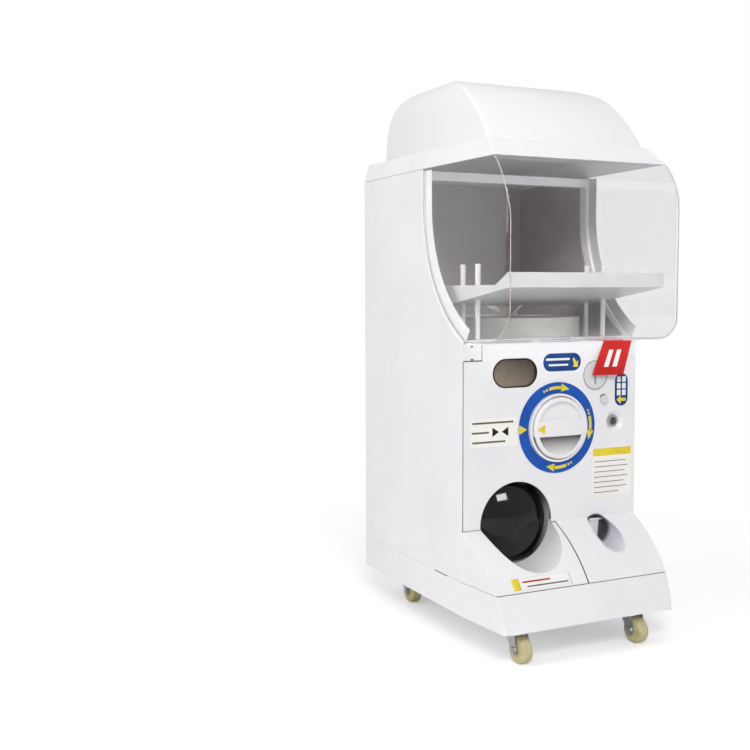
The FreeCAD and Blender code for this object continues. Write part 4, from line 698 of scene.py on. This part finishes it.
# In millimetres: the curve where a side meets the cabinet, as seen from the side, and how far it runs round
SWEEP_Y, SWEEP_Z, SWEEP_RADIUS, SWEEP_TURN = -229, 669.5, 235, 61
COVER_BACK, COVER_TOP, COVER_TAPER = 6, 727, 8
BAND_STEPS, BAND_RISE, BAND_REACH, BAND_THICK = 24, 28, 156.4, 0.6
bands = bmesh.new()
for side in (-1, 1):
    rows = []
    for step in range(-2, BAND_STEPS + 1):
        row = []
        for inset in (1.0, 22.0):
            y, z = polar(SWEEP_RADIUS - inset, -SWEEP_TURN * max(0, step) / BAND_STEPS, SWEEP_Y, SWEEP_Z)
            z += BAND_RISE * max(0, -step)
            reach = BAND_REACH - COVER_TAPER * (COVER_BACK - y) / SWEEP_RADIUS
            row += [bands.verts.new(Vector((side * (reach - depth), y, z)) * MM) for depth in (0, BAND_THICK)]
        rows.append(row)
    bar_along(bands, rows)
band_abs = moulded("band_abs", "#D6D5D6", "#CCCBCD", 0.4, 0.002, 0.0001, 0.06)
added("cover_bands", bands, band_abs, "cabinet")

# Each cover side shows a thin grey line, which runs in the sheet down the front bend, under the chin, back
# along the curve and up to the lid; along the cut and polished edges it is part the sheet's own edge and part
# painted shade, and down the front bend it is a painted streak of refraction and reflection.
running, given = shape_tree("rim_lines", ("Thickness", "Float"), ("Finish", "Material"))
run = add_node(running, "GeometryNodeMeshToCurve", {"Mesh": given["Geometry"]})
half_thick = maths(running, "MULTIPLY", given["Thickness"], 0.5)
round_wire = add_node(running, "GeometryNodeCurvePrimitiveCircle", {"Resolution": 8, "Radius": half_thick})
rim = add_node(running, "GeometryNodeCurveToMesh", {"Curve": run.outputs[0],
                                                    "Profile Curve": round_wire.outputs[0],
                                                    "Fill Caps": True})
rim_smooth = add_node(running, "GeometryNodeSetShadeSmooth", {0: rim.outputs[0]})
finished(running, rim_smooth.outputs[0], given["Finish"])


def bend(start, end, radius, steps=12):
    """Points of an arc from start to end that turns left, in y and z."""
    start, end = Vector(start), Vector(end)
    chord = end - start
    rise = math.sqrt(radius ** 2 - chord.length_squared / 4)
    centre = (start + end) / 2 + Vector((-chord.y, chord.x)).normalized() * rise
    first = math.degrees(math.atan2(*reversed(start - centre)))
    sweep = math.degrees(2 * math.asin(chord.length / 2 / radius))
    return [polar(radius, first + sweep * k / steps, *centre) for k in range(steps + 1)]


# The line lies half the sheet's thickness inside the curve; CORNER is the round at the cover's front edge
HALF_SHEET, RIM_REACH = 1.4, 158.6
CORNER_X, CORNER_Y, CORNER_RADIUS = 139, -217, 11.5
outline = bend((-190.5, 726.5), (-225.5, 640), 128) + bend((-225.5, 512), (-181, 466.5), 46)
outline += [(-150, 465.2), (-118, 464)]
outline += [polar(SWEEP_RADIUS - HALF_SHEET, turn, SWEEP_Y, SWEEP_Z) for turn in range(-SWEEP_TURN, 1, 3)]
outline.append((COVER_BACK - HALF_SHEET, COVER_TOP))
rim_points, rim_edges = [], []
for side in (-1, 1):
    first = len(rim_points)
    for y, z in outline:
        reach = RIM_REACH - COVER_TAPER * (COVER_BACK - y) / (COVER_BACK - CORNER_Y)
        if y < CORNER_Y:
            reach = min(reach, CORNER_X + math.sqrt(max(0, CORNER_RADIUS ** 2 - (CORNER_Y - y) ** 2)))
        rim_points.append(Vector((side * reach, y, z)) * MM)
    rim_edges += [(k, k + 1) for k in range(first, len(rim_points) - 1)]
# painted streak and shade: a grey line down the bend of the cover and along its edges
rim_and_streak_grey = moulded("acrylic_rim_and_painted_streak", "#A9A19E", "#958D8A", 0.2, 0.004, 0.0001, 0.03)
cover_rims = grown("cover_rims", rim_points, running, {"Thickness": 0.0014, "Finish": rim_and_streak_grey}, rim_edges)
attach(cover_rims, "cabinet")

# Lid and hood. The white lid hinges at the back on two steel leaves; on it stands a hollow hood of
# frosted plastic, with a soft round along its edges above the foot.
softened("lid", "lid", 0.0009, white_abs)
frosted, tree = blank_material("frosted_acrylic")
spot = object_space(tree)
cloud = noise(tree, spot, 0.15, 3.0)
skin(tree, {"Base Color": blend(tree, cloud, "#F2F2F2", "#EDEDEE"), "IOR": 1.3, "Transmission Weight": 0.08,
            "Roughness": ramp(tree, cloud, 0.3, 0.7, 0.38, 0.5),
            "Normal": dents(tree, noise(tree, spot, 0.003, 2.0), 0.2, 0.0002)})
HOOD_FOOT, HOOD_ROUND = 0.7575, 0.005
hood_work = merged("hood")
creases = [edge for edge in hood_work.edges if edge.is_manifold and edge.is_convex
           and edge.calc_face_angle() > math.radians(24) and max(v.co.z for v in edge.verts) > HOOD_FOOT]
bmesh.ops.bevel(hood_work, geom=creases, offset=HOOD_ROUND, offset_type="OFFSET", segments=4, profile=0.5,
                affect="EDGES", clamp_overlap=False)
hood = stand_in("hood", hood_work, frosted)
hood.data.set_sharp_from_angle(angle=math.radians(38))
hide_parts("hood")
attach(hood, "lid")
dress(steel, "lid_hinge_leaves", "lid_hinge_straps", "lid_hinge_pins")
